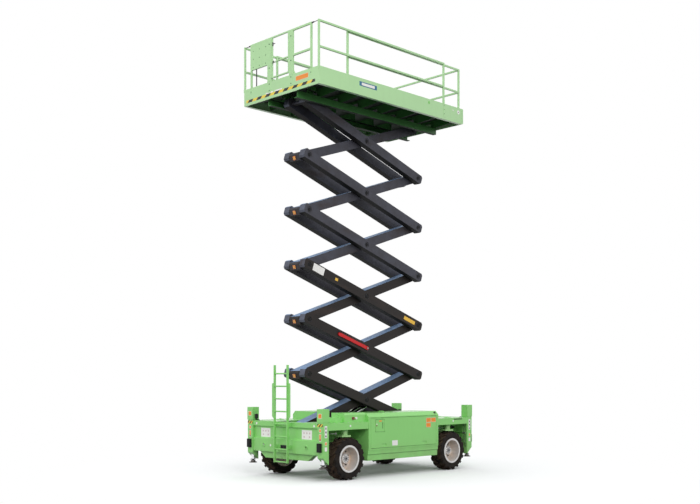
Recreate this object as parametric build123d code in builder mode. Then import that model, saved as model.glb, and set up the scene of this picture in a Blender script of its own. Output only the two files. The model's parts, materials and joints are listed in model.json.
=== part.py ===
"""Rough-terrain scissor lift with its platform part raised.

Millimetres. X runs from the ladder end (rear) to the drive end (front), Y to the machine's left, Z up from
the ground. The origin is on the ground, under the middle of the whole machine.
"""
from build123d import *
from math import atan2, cos, degrees, hypot, radians, sin
import os

os.makedirs("parts", exist_ok=True)

# ---- Driving dimensions ----------------------------------------------------------------------------------

overall_length = 5105          # rear edge of the platform to the front buffers
overall_width = 2500
platform_overhang = 115        # rear edge of the platform past the rear columns
platform_setback = 325         # front edge of the platform short of the front columns
buffer_depth = 60
clearance = 0.3                # between faces that slide or seat on each other
pin_clearance = 0.1            # radial, at a pin that carries load
open_pin_clearance = 1.0       # radial, at the pins where the scissor's loops are opened
motion_gap = 6                 # between pieces that move past each other

# Scissor stack
layers = 6
layer_rise = 1190              # from one pair of end pins to the next, as parked
base_pin_setback = 440         # fixed lower pin, from the rear columns
front_run = 940                # sliding lower pin, short of the front columns
base_pin_drop = 150            # lower pins below the deck
arm_depth = 210
inner_arm_width = 320
outer_arm_width = 170
arm_side_gap = 10
arm_end = 140                  # end of an arm past its pin
arm_chamfer = 38
pin_radius = 45
pin_recess_radius = 68
pin_recess_depth = 9
pin_head_step = 3
lowest_arm_angle = 3.6         # degrees above level, with the platform down
highest_arm_angle = 56.0

# Wheels and steering
tyre_radius = 455
tyre_width = 350
tyre_shoulder = 36
tyre_inset = 20                # tyre's outer face inside the overall width
bead_radius = 262
flange_radius = 292
lug_height = 34                # tread lugs above the tyre's casing
lug_count = 18                 # in each of the two rows
lug_width = 58
lug_slant = 30                 # degrees, from straight across the tread
rear_tyre_gap = 175            # from the columns to the tyres
front_tyre_gap = 80
kingpin_radius = 45
axle_radius = 60
knuckle_gap = 30               # from the tyre's inner face to the knuckle
knuckle_leg = 50
steering_arm = 60              # reach of the steering arm inside the knuckle

# Chassis
beam_gap = 35                  # from the arms to the main beams
beam_width = 100
beam_bottom = 500
beam_wall = 16
roller_radius = 60
roller_width = 80
deck_lift = 320                # top of the side beams and end panels, above the tyres
side_beam_depth = 150
side_beam_width = 112
panel_bottom = 560
band_drop = 380                # top of the end panels' lower band, below the deck
panel_recess = 40
lashing_lift = 150             # lashing eyes above the end panels' lower edge
lashing_y = 700
lashing_radius = 25
lashing_ring = 52              # radius of the ring welded round each lashing eye
sheet = 12
column_width = 170
column_inset = 8
column_head = 300              # top of the columns above the deck
column_bottom = 360
column_cap_lift = 20           # underside of the columns' heads above the deck
leg_radius = 38
leg_stroke = 450
pad_radius = 90
pad_lift = 280                 # foot pads above the ground, as parked
cabinet_bottom = 380
cabinet_head = 180             # top of the cabinets above the deck
cabinet_gap = 62               # from a fully steered tyre to the cabinet
cabinet_wall = 25
cabinet_chamfer = 80
door_gap = 6
door_margin = 70               # from the cabinet's ends to its door
ladder_width = 450
ladder_bottom = 350
ladder_top = 2460
ladder_guard = 75              # width of the plates beside its stringers

# Lift cylinders
cylinder_base_setback = 250    # base pin, in front of the fixed lower pin
cylinder_base_drop = 360       # and below it
cylinder_offset = 10           # from the middle of each side of the inner arm's lugs
barrel_radius = 70
barrel_bore = 58
rod_radius = 40
eye_reach = 2070               # rod's eye along the first inner arm, from its lower pin
eye_drop = 205                 # and below the arm's centre line

# Safety prop
prop_length = 930
prop_width = 76
prop_gap = 5.5                 # from the arm's face
prop_thickness = 20
prop_boss = 24

# Platform
platform_inset = 10            # platform's sides inside the overall width
rail_flange = 12
panel_lift = 50                # underside of the side panels above the top pins
panel_height = 370
floor_height = 220             # floor above the underside of the side panels
panel_thickness = 30
mid_rail_height = 775
top_rail_height = 1330
rail_tube = 40
extension_travel = 1500
extension_setback = 890        # rear edge of the extension deck, from the platform's
fixed_rail_length = 4030
gate_width = 590
gate_post_width = 130
rear_frame_inset = 230         # rear end frame inside the platform's sides

# ---- Positions worked out from them ----------------------------------------------------------------------

rear_x, front_x = -overall_length / 2, overall_length / 2
side_y = overall_width / 2
chassis_rear = rear_x + platform_overhang
chassis_front = front_x - buffer_depth
deck_z = 2 * tyre_radius + deck_lift
column_top = deck_z + column_head
column_cap_z = deck_z + column_cap_lift
cabinet_top = deck_z + cabinet_head
lashing_z = panel_bottom + lashing_lift
platform_half_width = side_y - platform_inset
base_x = chassis_rear + base_pin_setback
base_pin_z = deck_z - base_pin_drop
cylinder_base_z = base_pin_z - cylinder_base_drop
cylinder_spacing = inner_arm_width / 2 + cylinder_offset
arm_span = chassis_front - front_run - base_x
arm_length = hypot(arm_span, layer_rise)
arm_angle = degrees(atan2(layer_rise, arm_span))
top_pin_z = base_pin_z + layers * layer_rise
inner_half = inner_arm_width / 2
stack_half = inner_half + arm_side_gap + outer_arm_width
beam_in = stack_half + beam_gap
beam_out = beam_in + beam_width
beam_mid = (beam_in + beam_out) / 2
track_z = base_pin_z - roller_radius - clearance
roller_in = beam_mid - roller_width / 2
roller_out = beam_mid + roller_width / 2
lowest_reach = arm_length * cos(radians(lowest_arm_angle))
highest_reach = arm_length * cos(radians(highest_arm_angle))
wheel_y = side_y - tyre_inset - tyre_width / 2
rear_axle_x = chassis_rear + column_width + rear_tyre_gap + tyre_radius
front_axle_x = chassis_front - column_width - front_tyre_gap - tyre_radius
half_tyre = tyre_width / 2
knuckle_in = wheel_y - half_tyre - knuckle_gap - knuckle_leg
wheel_sweep = hypot(tyre_radius, tyre_width / 2)
cabinet_rear = rear_axle_x + wheel_sweep + cabinet_gap
cabinet_front = front_axle_x - wheel_sweep - cabinet_gap
column_out = side_y - column_inset
column_in = column_out - column_width
side_beam_in = column_out - side_beam_width
platform_rear = rear_x
platform_front = chassis_front - platform_setback
panel_z = top_pin_z + panel_lift
floor_z = panel_z + floor_height
panel_top = panel_z + panel_height
mid_rail_z = panel_z + mid_rail_height
top_rail_z = panel_z + top_rail_height

sides = {"right": -1, "left": 1}
axles = {"rear": rear_axle_x, "front": front_axle_x}
# name, outer end face, direction from it to the middle of the machine
ends = [("rear", chassis_rear, 1), ("front", chassis_front, -1)]


# ---- Helpers ---------------------------------------------------------------------------------------------

def along_x(points, x, mode=Mode.ADD):
    """Extrude an outline of (y, z) points between two values of X."""
    with BuildSketch(Plane.YZ.offset(min(x))) as outline:
        with BuildLine():
            Polyline(*points, close=True)
        make_face()
    extrude(outline.sketch, amount=abs(x[1] - x[0]), mode=mode)


def along_y(points, y, mode=Mode.ADD):
    """Extrude an outline of (x, z) points between two values of Y."""
    with BuildSketch(Plane.XZ.offset(-max(y))) as outline:
        with BuildLine():
            Polyline(*points, close=True)
        make_face()
    extrude(outline.sketch, amount=abs(y[1] - y[0]), mode=mode)


def along_z(points, z, mode=Mode.ADD):
    """Extrude an outline of (x, y) points between two values of Z."""
    with BuildSketch(Plane.XY.offset(min(z))) as outline:
        with BuildLine():
            Polyline(*points, close=True)
        make_face()
    extrude(outline.sketch, amount=abs(z[1] - z[0]), mode=mode)


def block(x, y, z, mode=Mode.ADD):
    """Add or cut a plain block that fills the ranges x, y and z."""
    with Locations((sum(x) / 2, sum(y) / 2, sum(z) / 2)):
        Box(abs(x[1] - x[0]), abs(y[1] - y[0]), abs(z[1] - z[0]), mode=mode)


def pin_y(x, z, radius, y, mode=Mode.ADD):
    """Add or cut a cylinder that lies along Y."""
    with Locations(Location((x, sum(y) / 2, z), (90, 0, 0))):
        Cylinder(radius, abs(y[1] - y[0]), mode=mode)


def post_z(x, y, radius, z, mode=Mode.ADD):
    """Add or cut an upright cylinder."""
    with Locations((x, y, sum(z) / 2)):
        Cylinder(radius, abs(z[1] - z[0]), mode=mode)


def knuckles(axis_plane, places, length, radius):
    """Hinge knuckles along the normal of a plane through the hinge's axis."""
    for place in places:
        with BuildSketch(axis_plane.offset(place - length / 2)) as section:
            Circle(radius)
        extrude(section.sketch, amount=length)


def mirrored(side, *values):
    """A pair of distances from the centre line as a rising range of Y on the given side."""
    return tuple(sorted(side * value for value in values))


def finish(name, builder):
    """Label the piece and write it."""
    builder.part.label = name
    export_step(builder.part, f"parts/{name}.step")


# ---- Chassis ---------------------------------------------------------------------------------------------

panel_inset = 20               # end panels inside the columns
frame_rear = chassis_rear + panel_inset + panel_recess + sheet
frame_front = chassis_front - panel_inset - panel_recess - sheet
cylinder_base_x = base_x + cylinder_base_setback
lug_in = inner_half + arm_side_gap - 2
lug_thickness = 30
cross_low, cross_high = beam_bottom + 20, beam_bottom + 120
# x of the middle, half width, top
cross_members = [
    (base_x, 60, base_pin_z - 200),
    (cylinder_base_x, 60, cylinder_base_z - 95),
    (cabinet_rear - 20, 50, cross_high),
    (cabinet_front - 600, 50, cross_high),
    (cabinet_front + 60, 50, cross_high),
    (front_axle_x + 200, 50, base_pin_z - 180),
]

with BuildPart() as chassis_frame:
    for side in sides.values():
        # Main beam, a tube that the lower rollers run on
        with BuildSketch(Plane.YZ.offset(frame_rear)) as tube:
            with Locations((side * beam_mid, (beam_bottom + track_z) / 2)):
                Rectangle(beam_width, track_z - beam_bottom)
                Rectangle(beam_width - 2 * beam_wall, track_z - beam_bottom - 2 * beam_wall,
                          mode=Mode.SUBTRACT)
        extrude(amount=frame_front - frame_rear)
        # Guide outside the rollers
        block((base_x + highest_reach - 2 * roller_radius, base_x + lowest_reach + 2 * roller_radius),
              mirrored(side, beam_out - 7, beam_out), (track_z, track_z + 2 * roller_radius + 30))
    # Cross members between the main beams
    for x, half, high in cross_members:
        block((x - half, x + half), (-beam_in, beam_in), (cross_low, high))
    # End beams, deepest in the middle
    belly_wide, belly_low = column_in - 170, panel_bottom - 140
    belly = [(-belly_wide, panel_bottom), (200 - belly_wide, belly_low), (belly_wide - 200, belly_low),
             (belly_wide, panel_bottom), (belly_wide, panel_bottom + 80), (-belly_wide, panel_bottom + 80)]
    along_x(belly, (frame_rear, frame_rear + 120))
    along_x(belly, (frame_front - 120, frame_front))
    for side in sides.values():
        # Lugs of the fixed lower pin
        lug = [(-70, -210), (-70, 20), (-45, 62), (45, 62), (70, 20), (70, -210)]
        along_y([(base_x + x, base_pin_z + z) for x, z in lug],
                mirrored(side, lug_in, lug_in + lug_thickness))
    pin_y(base_x, base_pin_z, pin_radius, (-lug_in - lug_thickness - 12, lug_in + lug_thickness + 12))
    # Lugs and pin of the lift cylinders
    for y in (-cylinder_spacing / 2 - 58, -10, cylinder_spacing / 2 + 38):
        along_y([(cylinder_base_x - 60, cylinder_base_z - 100), (cylinder_base_x - 40, cylinder_base_z + 45),
                 (cylinder_base_x + 40, cylinder_base_z + 45), (cylinder_base_x + 60, cylinder_base_z - 100)],
                (y, y + 20))
    pin_y(cylinder_base_x, cylinder_base_z, 30, (-cylinder_spacing / 2 - 66, cylinder_spacing / 2 + 66))
finish("chassis_frame", chassis_frame)

# Wheel bays: side beams, kingpin brackets and deck sheets outside the main beams
bracket_reach = knuckle_in - steering_arm - 40
collar_z = deck_z - side_beam_depth - 40      # underside of the kingpins' bearing collars
with BuildPart() as wheel_bays:
    for name, end, inward in ends:
        axle_x = axles[name]
        bay_x = (end + inward * column_width, cabinet_rear if name == "rear" else cabinet_front)
        for side in sides.values():
            block(bay_x, mirrored(side, side_beam_in, column_out), (deck_z - side_beam_depth, deck_z))
            block(bay_x, mirrored(side, beam_out, side_beam_in), (deck_z - sheet, deck_z))
            # Kingpin bracket, from the main beam out to the side beam, with a bearing collar below
            bracket = [(beam_out, deck_z - 430), (beam_out, deck_z), (side_beam_in, deck_z),
                       (side_beam_in, deck_z - side_beam_depth), (bracket_reach, deck_z - side_beam_depth)]
            along_x([(side * y, z) for y, z in bracket], (axle_x - 150, axle_x + 150))
            post_z(axle_x, side * wheel_y, 75, (collar_z, deck_z - side_beam_depth))
            post_z(axle_x, side * wheel_y, kingpin_radius + pin_clearance, (0, deck_z - 40),
                   mode=Mode.SUBTRACT)
finish("wheel_bays", wheel_bays)

# Folded end panels: a lip under the deck, a recessed middle and a lower band
# distance inwards from the outer face, height
lip_z, band_z = deck_z - 108, deck_z - band_drop
fold = [(0, deck_z), (0, lip_z), (panel_recess, lip_z - 17), (panel_recess, band_z + 16), (0, band_z),
        (0, panel_bottom)]
folded_back = [(sheet, panel_bottom), (sheet, band_z - 4), (panel_recess + sheet, band_z + 12),
               (panel_recess + sheet, lip_z - 13), (sheet, lip_z + 4), (sheet, deck_z - sheet),
               (80, deck_z - sheet), (80, deck_z)]
for name, end, inward in ends:
    face = end + panel_inset * inward
    with BuildPart() as end_panel:
        along_y([(face + inward * d, z) for d, z in fold + folded_back], (-column_in, column_in))
        # Lashing eyes through the lower band, each with a ring outside
        eye_plane = Plane(origin=(face, 0, lashing_z), x_dir=(0, 1, 0), z_dir=(-inward, 0, 0))
        with BuildSketch(eye_plane) as ring:
            with Locations((-lashing_y, 0), (lashing_y, 0)):
                Circle(lashing_ring)
        extrude(ring.sketch, amount=sheet)
        chamfer(end_panel.edges().filter_by(GeomType.CIRCLE).sort_by(Axis.X)[:2] if inward > 0
                else end_panel.edges().filter_by(GeomType.CIRCLE).sort_by(Axis.X)[-2:], 5)
        with BuildSketch(eye_plane.offset(sheet)) as holes:
            with Locations((-lashing_y, 0), (lashing_y, 0)):
                Circle(lashing_radius)
        extrude(holes.sketch, amount=-2 * sheet - 1, mode=Mode.SUBTRACT)
    finish(f"{name}_panel", end_panel)

# Outrigger columns, with a wider head and a slanting foot
with BuildPart() as outrigger_columns:
    for name, end, inward in ends:
        for side in sides.values():
            x = (end, end + inward * column_width)
            middle_x, middle_y = sum(x) / 2, side * (column_in + column_out) / 2
            along_y([(x[0], column_bottom + 150), (x[1], column_bottom), (x[1], column_cap_z),
                     (x[0], column_cap_z)], mirrored(side, column_in, column_out))
            block((middle_x - column_width / 2 - column_inset, middle_x + column_width / 2 + column_inset),
                  mirrored(side, column_in - column_inset, side_y), (column_cap_z, column_top))
            post_z(middle_x, middle_y, leg_radius + pin_clearance, (0, column_top - 30), mode=Mode.SUBTRACT)
finish("outrigger_columns", outrigger_columns)

with BuildPart() as bumper_pads:
    for name, end, inward in ends:
        for side in sides.values():
            middle_y = side * (column_in + column_out) / 2
            block((end - inward * buffer_depth, end), (middle_y - 50, middle_y + 50),
                  (panel_bottom + 70, panel_bottom + 260))
    fillet(bumper_pads.edges().filter_by(Axis.Y).group_by(Axis.X)[0], 12)
    fillet(bumper_pads.edges().filter_by(Axis.Y).group_by(Axis.X)[-1], 12)
finish("bumper_pads", bumper_pads)

# ---- Cabinets and doors ----------------------------------------------------------------------------------

# distance from the centre line, height: the cabinet's section, with a chamfered head and a stepped skirt
cabinet_section = [(beam_out, cabinet_bottom), (side_y - 35, cabinet_bottom),
                   (side_y - 35, cabinet_bottom + 120),
                   (side_y - 15, cabinet_bottom + 140), (side_y - 15, cabinet_bottom + 215),
                   (side_y, cabinet_bottom + 235), (side_y, cabinet_top - cabinet_chamfer),
                   (side_y - cabinet_chamfer, cabinet_top), (beam_out, cabinet_top)]
wall = cabinet_wall
cabinet_inside = [(beam_out + wall, cabinet_bottom + wall), (side_y - 35 - wall, cabinet_bottom + wall),
                  (side_y - 35 - wall, cabinet_bottom + 120), (side_y - 15 - wall, cabinet_bottom + 140),
                  (side_y - 15 - wall, cabinet_bottom + 215), (side_y - wall, cabinet_bottom + 235),
                  (side_y - wall, cabinet_top - cabinet_chamfer - 10),
                  (side_y - cabinet_chamfer - 10, cabinet_top - wall), (beam_out + wall, cabinet_top - wall)]
door_face = side_y - 4
knuckle_radius = door_gap / 2 - clearance
door_x = (cabinet_rear + door_margin, cabinet_front - door_margin)
door_z = (cabinet_bottom + 260, cabinet_top - cabinet_chamfer - 20)
hatch_x = (door_x[0] + 150, door_x[0] + 430)
hatch_z = (door_z[1] - 310, door_z[1] - 40)


def handle_outline(side):
    """A low bow over the cabinet's hood, as (y, z) points of a flat bar with bent ends."""
    far, near, high = side * (side_y - 220), side * (side_y - 380), cabinet_top + 34
    bar = side * 12
    return [(far, cabinet_top), (far - bar, high), (near + bar, high), (near, cabinet_top),
            (near + bar, cabinet_top), (near + 2 * bar, high - 12), (far - 2 * bar, high - 12),
            (far - bar, cabinet_top)]


for name, side in sides.items():
    with BuildPart() as cabinet:
        along_x([(side * y, z) for y, z in cabinet_section], (cabinet_rear, cabinet_front))
        along_x([(side * y, z) for y, z in cabinet_inside], (cabinet_rear + wall, cabinet_front - wall),
                mode=Mode.SUBTRACT)
        block(door_x, mirrored(side, side_y - 2 * wall, side_y + 1), door_z, mode=Mode.SUBTRACT)
        # Toggle latch on the chamfered head, near the front
        latch = Plane(origin=(cabinet_front - 90, side * (side_y - cabinet_chamfer / 2),
                              cabinet_top - cabinet_chamfer / 2), x_dir=(1, 0, 0), z_dir=(0, side, 1))
        with BuildSketch(latch) as base:
            Rectangle(64, 30)
        extrude(base.sketch, amount=8)
        with BuildSketch(latch.offset(8)) as lever:
            Rectangle(20, 56)
        extrude(lever.sketch, amount=14)
        # Grab handle on the hood
        along_x(handle_outline(side), (cabinet_rear + 700, cabinet_rear + 716))
    finish(f"{name}_cabinet", cabinet)

    with BuildPart() as door:
        block((door_x[0] + door_gap, door_x[1] - door_gap), mirrored(side, side_y - wall, door_face),
              (door_z[0] + door_gap, door_z[1] - door_gap))
        hinge_line = Plane(origin=(0, side * door_face, door_z[1] - door_gap / 2), x_dir=(0, 1, 0),
                           z_dir=(1, 0, 0))
        knuckles(hinge_line, (door_x[0] + 250, sum(door_x) / 2, door_x[1] - 250), 120, knuckle_radius)
        if name == "right":
            block((hatch_x[0] - door_gap, hatch_x[1] + door_gap),
                  mirrored(side, side_y - 2 * wall, side_y + 1),
                  (hatch_z[0] - door_gap, hatch_z[1] + door_gap), mode=Mode.SUBTRACT)
        # Pull cups along the lower edge
        for x in (door_x[0] + 420, door_x[1] - 420):
            block((x - 70, x + 70), mirrored(side, door_face - 12, door_face + 1),
                  (door_z[0] + 40, door_z[0] + 90), mode=Mode.SUBTRACT)
    finish(f"{name}_door", door)

with BuildPart() as service_hatch:
    block(hatch_x, mirrored(-1, side_y - wall, door_face), hatch_z)
    fillet(service_hatch.edges().filter_by(Axis.Y), 20)
    # Slot of the handle beside the hinge, and the lock
    hatch_middle = sum(hatch_z) / 2
    block((hatch_x[1] - 62, hatch_x[1] - 44), (-door_face - 1, -door_face + 12),
          (hatch_middle - 65, hatch_middle + 65), mode=Mode.SUBTRACT)
    pin_y(hatch_x[0] + 38, hatch_middle, 15, (-side_y + 1, -door_face))
    hinge_line = Plane(origin=(hatch_x[1] + door_gap / 2, -door_face, 0), x_dir=(1, 0, 0), z_dir=(0, 0, 1))
    knuckles(hinge_line, (hatch_z[0] + 60, hatch_z[1] - 60), 40, knuckle_radius)
finish("service_hatch", service_hatch)

# Engine in the right cabinet, on two rails: sump, block, head, rocker cover, flywheel housing and radiator
engine_x, engine_z = cabinet_rear + 450, cabinet_bottom + wall
engine_y = (170 - side_y, -beam_out - 165)
engine_mid = sum(engine_y) / 2
crank_z = engine_z + 260
with BuildPart() as engine_block:
    for y in (engine_y[0], engine_y[1] - 60):
        block((engine_x, engine_x + 1000), (y, y + 60), (engine_z, engine_z + 60))
    # x from the rear end, half width, z from the rails' underside
    for x, half, z in [((200, 780), 110, (40, 140)), ((150, 830), 160, (130, 440)),
                       ((150, 830), 125, (440, 530)), ((180, 800), 85, (530, 600))]:
        block([engine_x + place for place in x], (engine_mid - half, engine_mid + half),
              [engine_z + height for height in z])
    chamfer(engine_block.faces().sort_by(Axis.Z)[-1].edges(), 24)
    # Mounting feet out to the rails
    for x in (240, 700):
        block((engine_x + x, engine_x + x + 60), engine_y, (engine_z + 60, engine_z + 150))
    # Flywheel housing, fan hub and radiator
    for x, radius in (((30, 150), 195), ((830, 900), 70)):
        with BuildSketch(Plane(origin=(engine_x + x[0], engine_mid, crank_z), x_dir=(0, 1, 0),
                               z_dir=(1, 0, 0))) as disc:
            Circle(radius)
        extrude(disc.sketch, amount=x[1] - x[0])
    block((engine_x + 900, engine_x + 1000), engine_y, (engine_z + 60, engine_z + 620))
finish("engine_block", engine_block)

# Hydraulic tank in the left cabinet, with a filler neck and a return filter on top
tank_x, tank_top = cabinet_rear + 200, cabinet_bottom + wall + 480
tank_middle = (beam_out + side_y) / 2
with BuildPart() as hydraulic_tank:
    block((tank_x, tank_x + 800), (beam_out + 165, side_y - 170), (cabinet_bottom + wall, tank_top))
    fillet(hydraulic_tank.edges().filter_by(Axis.Z), 50)
    for x, radius, height in ((180, 45, 50), (180, 58, 76), (560, 80, 60), (560, 50, 80)):
        low = tank_top + 50 if radius == 58 else tank_top
        post_z(tank_x + x, tank_middle, radius, (low, tank_top + height))
finish("hydraulic_tank", hydraulic_tank)

# Tank housing on the deck beside the right cabinet, stepped, with two filler caps on its outer face
housing_y = -side_y + 85
with BuildPart() as tank_housing:
    along_x([(-beam_out - 285, deck_z), (-beam_out - 285, deck_z + 200), (housing_y + 45, deck_z + 200),
             (housing_y, deck_z + 160), (housing_y, deck_z)], (rear_axle_x - 100, cabinet_rear))
    block((rear_axle_x - 320, rear_axle_x - 100), (-beam_out - 285, housing_y + 60), (deck_z, deck_z + 105))
    pin_y(rear_axle_x + 150, deck_z + 85, 32, (housing_y - 30, housing_y))
    pin_y(rear_axle_x + 240, deck_z + 85, 26, (housing_y - 25, housing_y))
    # Hand lever's bow on the low step
    bow_y = (housing_y + 110, housing_y + 126)
    along_y([(rear_axle_x - 270, deck_z + 105), (rear_axle_x - 262, deck_z + 190),
             (rear_axle_x - 178, deck_z + 190), (rear_axle_x - 170, deck_z + 105),
             (rear_axle_x - 186, deck_z + 105), (rear_axle_x - 194, deck_z + 174),
             (rear_axle_x - 246, deck_z + 174), (rear_axle_x - 254, deck_z + 105)], bow_y)
finish("tank_housing", tank_housing)

# ---- Ladder ----------------------------------------------------------------------------------------------

ladder_x = (chassis_rear - 100, chassis_rear - 50)
rung_count = 8
rung_spacing = 272
with BuildPart() as access_ladder:
    for side in sides.values():
        half = ladder_width / 2
        block(ladder_x, mirrored(side, half - 25, half), (ladder_bottom, ladder_top))
        # Guard plate beside the stringer, with slanting ends
        guard = [(half, ladder_top - 1180), (half + ladder_guard, ladder_top - 1110),
                 (half + ladder_guard, ladder_top - 400), (half, ladder_top - 380)]
        along_x([(side * y, z) for y, z in guard], (ladder_x[0] + 20, ladder_x[0] + 30))
        # Brackets to the rear panel
        for z in (lashing_z - 20, lip_z + 54):
            block((ladder_x[1], chassis_rear + panel_inset), mirrored(side, half - 25, half - 13),
                  (z - 40, z + 40))
    for step in range(rung_count):
        pin_y(sum(ladder_x) / 2, ladder_bottom + 20 + step * rung_spacing, 16,
              (-ladder_width / 2 + 12, ladder_width / 2 - 12))
finish("access_ladder", access_ladder)

# ---- Wheels, knuckles and outrigger legs -----------------------------------------------------------------

rim_edge, bead_edge = half_tyre - 14, half_tyre - 28
bead_wall = bead_radius - 12
axle_end = 20                  # past the middle of the wheel
bore_radius = axle_radius + pin_clearance
# radius, distance out from the wheel's middle: a deep dish with a drum hub and a blind axle bore
rim_section = [(bead_wall, -rim_edge), (flange_radius, -rim_edge), (flange_radius, -bead_edge),
               (bead_radius, -bead_edge), (bead_radius, bead_edge), (flange_radius, bead_edge),
               (flange_radius, rim_edge), (bead_wall, rim_edge), (bead_wall, -77), (125, -63), (105, 30),
               (92, 47), (0, 47), (0, axle_end + 5), (bore_radius, axle_end + 5),
               (bore_radius, -rim_edge + 26), (105, -rim_edge + 26), (120, -99), (bead_wall, -99)]
plate_z = tyre_radius * 2 + 15


def tyre_solid(tread_radius):
    """Revolve a tyre's section about the Y axis, with round shoulders up to a tread of the given radius."""
    beads, walls = (2 - bead_edge, bead_edge - 2), (5 - half_tyre, half_tyre - 5)
    bulge, shoulder = tyre_radius - 90, tread_radius - tyre_shoulder
    with BuildSketch(Plane(origin=(0, 0, 0), x_dir=(1, 0, 0), z_dir=(0, 0, 1))) as section:
        with BuildLine():
            Line((bead_radius, beads[1]), (bead_radius, beads[0]))
            for bead, sidewall, turn in zip(beads, walls, (1, -1)):
                Line((bead_radius, bead), (flange_radius, bead))
                ThreePointArc((flange_radius, bead), (bulge - 35, sidewall + turn * 4), (bulge, sidewall))
                Line((bulge, sidewall), (shoulder, sidewall))
                CenterArc((shoulder, sidewall + turn * tyre_shoulder), tyre_shoulder, -turn * 90, turn * 90)
            Line((tread_radius, walls[0] + tyre_shoulder), (tread_radius, walls[1] - tyre_shoulder))
        make_face()
    revolve(section.sketch, axis=Axis.Y)


# Tread lugs: bars that lean the same way round in two staggered rows, trimmed to the tyre's outline
pitch = 360 / lug_count
lug_base = tyre_radius - 100
with BuildPart() as lug_bars:
    for row, turn in enumerate((-1, 1)):
        for place in range(lug_count):
            angle = radians((place + row / 2) * pitch)
            out, round_way = Vector(sin(angle), 0, cos(angle)), Vector(cos(angle), 0, -sin(angle))
            along = Vector(0, turn, 0) * cos(radians(lug_slant)) + round_way * sin(radians(lug_slant))
            with BuildSketch(Plane(origin=out * lug_base, x_dir=along, z_dir=out)) as bar:
                with Locations((tyre_width / 2, 0)):
                    Rectangle(tyre_width, lug_width)
            extrude(bar.sketch, amount=tyre_radius - lug_base + 20, taper=4)
with BuildPart() as lugged_tyre:
    tyre_solid(tyre_radius)
    add(lug_bars.part, mode=Mode.INTERSECT)
    tyre_solid(tyre_radius - lug_height)

for axle, axle_x in axles.items():
    for name, side in sides.items():
        spin = Axis((axle_x, 0, tyre_radius), (0, 1, 0))
        wheel_plane = Plane(origin=(axle_x, side * wheel_y, tyre_radius), x_dir=(1, 0, 0), z_dir=(0, 0, side))

        with BuildPart() as rim:
            with BuildSketch(wheel_plane):
                with BuildLine():
                    Polyline(*rim_section, close=True)
                make_face()
            revolve(axis=spin)
        finish(f"{axle}_{name}_rim", rim)

        with BuildPart() as tyre:
            with Locations(Location((axle_x, side * wheel_y, tyre_radius), (0, 0, 0 if side < 0 else 180))):
                add(lugged_tyre.part)
        finish(f"{axle}_{name}_tyre", tyre)

        with BuildPart() as knuckle:
            # Inner leg, from the plate over the tyre down round the axle
            leg_face = max(mirrored(side, knuckle_in, knuckle_in + knuckle_leg))
            with BuildSketch(Plane.XZ.offset(-leg_face)) as leg:
                with Locations((axle_x, tyre_radius)):
                    Circle(125)
                with BuildLine():
                    Polyline((axle_x - 124, tyre_radius + 10), (axle_x - 90, plate_z + 30),
                             (axle_x + 90, plate_z + 30), (axle_x + 124, tyre_radius + 10), close=True)
                make_face()
            extrude(leg.sketch, amount=knuckle_leg)
            # Plate over the tyre and boss of the kingpin
            along_z([(axle_x - 100, side * knuckle_in), (axle_x - 130, side * (wheel_y - 80)),
                     (axle_x - 130, side * (wheel_y + 60)), (axle_x - 70, side * (wheel_y + 130)),
                     (axle_x + 70, side * (wheel_y + 130)), (axle_x + 130, side * (wheel_y + 60)),
                     (axle_x + 130, side * (wheel_y - 80)), (axle_x + 100, side * knuckle_in)],
                    (plate_z, plate_z + 30))
            post_z(axle_x, side * wheel_y, 70, (plate_z + 30, collar_z - clearance))
            post_z(axle_x, side * wheel_y, kingpin_radius, (plate_z + 30, deck_z - 45))
            # Stub axle and drive motor
            pin_y(axle_x, tyre_radius, axle_radius, mirrored(side, knuckle_in + 25, wheel_y + axle_end))
            pin_y(axle_x, tyre_radius, 105, mirrored(side, knuckle_in - 110, knuckle_in))
            # Steering arm
            block((axle_x - 40, axle_x + 40),
                  mirrored(side, knuckle_in - steering_arm, knuckle_in + knuckle_leg),
                  (plate_z, plate_z + 30))
        finish(f"{axle}_{name}_knuckle", knuckle)

# radius, height: a dished pad on a ball housing, a neck, and the rod inside the column
foot_section = [(0, pad_lift), (pad_radius, pad_lift), (pad_radius, pad_lift + 12), (56, pad_lift + 22),
                (50, pad_lift + 50), (26, pad_lift + 58), (26, pad_lift + 74), (leg_radius, pad_lift + 82),
                (leg_radius, deck_z - 80), (0, deck_z - 80)]
for name, end, inward in ends:
    for side_name, side in sides.items():
        x, y = end + inward * column_width / 2, side * (column_in + column_out) / 2
        with BuildPart() as outrigger_leg:
            with BuildSketch(Plane(origin=(x, y, 0), x_dir=(1, 0, 0), z_dir=(0, -1, 0))):
                with BuildLine():
                    Polyline(*foot_section, close=True)
                make_face()
            revolve(axis=Axis((x, y, 0), (0, 0, 1)))
        finish(f"{name}_{side_name}_leg", outrigger_leg)

# ---- Scissor arms ----------------------------------------------------------------------------------------

arm_outline = [(-arm_length / 2 - arm_end, -arm_depth / 2 + arm_chamfer),
               (-arm_length / 2 - arm_end, arm_depth / 2 - arm_chamfer),
               (-arm_length / 2 - arm_end + arm_chamfer, arm_depth / 2),
               (arm_length / 2 + arm_end - arm_chamfer, arm_depth / 2),
               (arm_length / 2 + arm_end, arm_depth / 2 - arm_chamfer),
               (arm_length / 2 + arm_end, -arm_depth / 2 + arm_chamfer),
               (arm_length / 2 + arm_end - arm_chamfer, -arm_depth / 2),
               (-arm_length / 2 - arm_end + arm_chamfer, -arm_depth / 2)]
pin_places = [(-arm_length / 2, 0), (0, 0), (arm_length / 2, 0)]
middle_x = base_x + arm_span / 2
pin_length_half = stack_half - pin_recess_depth + pin_head_step


def arm_plane(layer, angle):
    """The plane of a layer's arms: origin at the centre pin, x along the arm, facing -Y."""
    centre_z = base_pin_z + (layer - 0.5) * layer_rise
    return Plane(origin=(middle_x, 0, centre_z), x_dir=(cos(radians(angle)), 0, sin(radians(angle))),
                 z_dir=(0, -1, 0))


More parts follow.
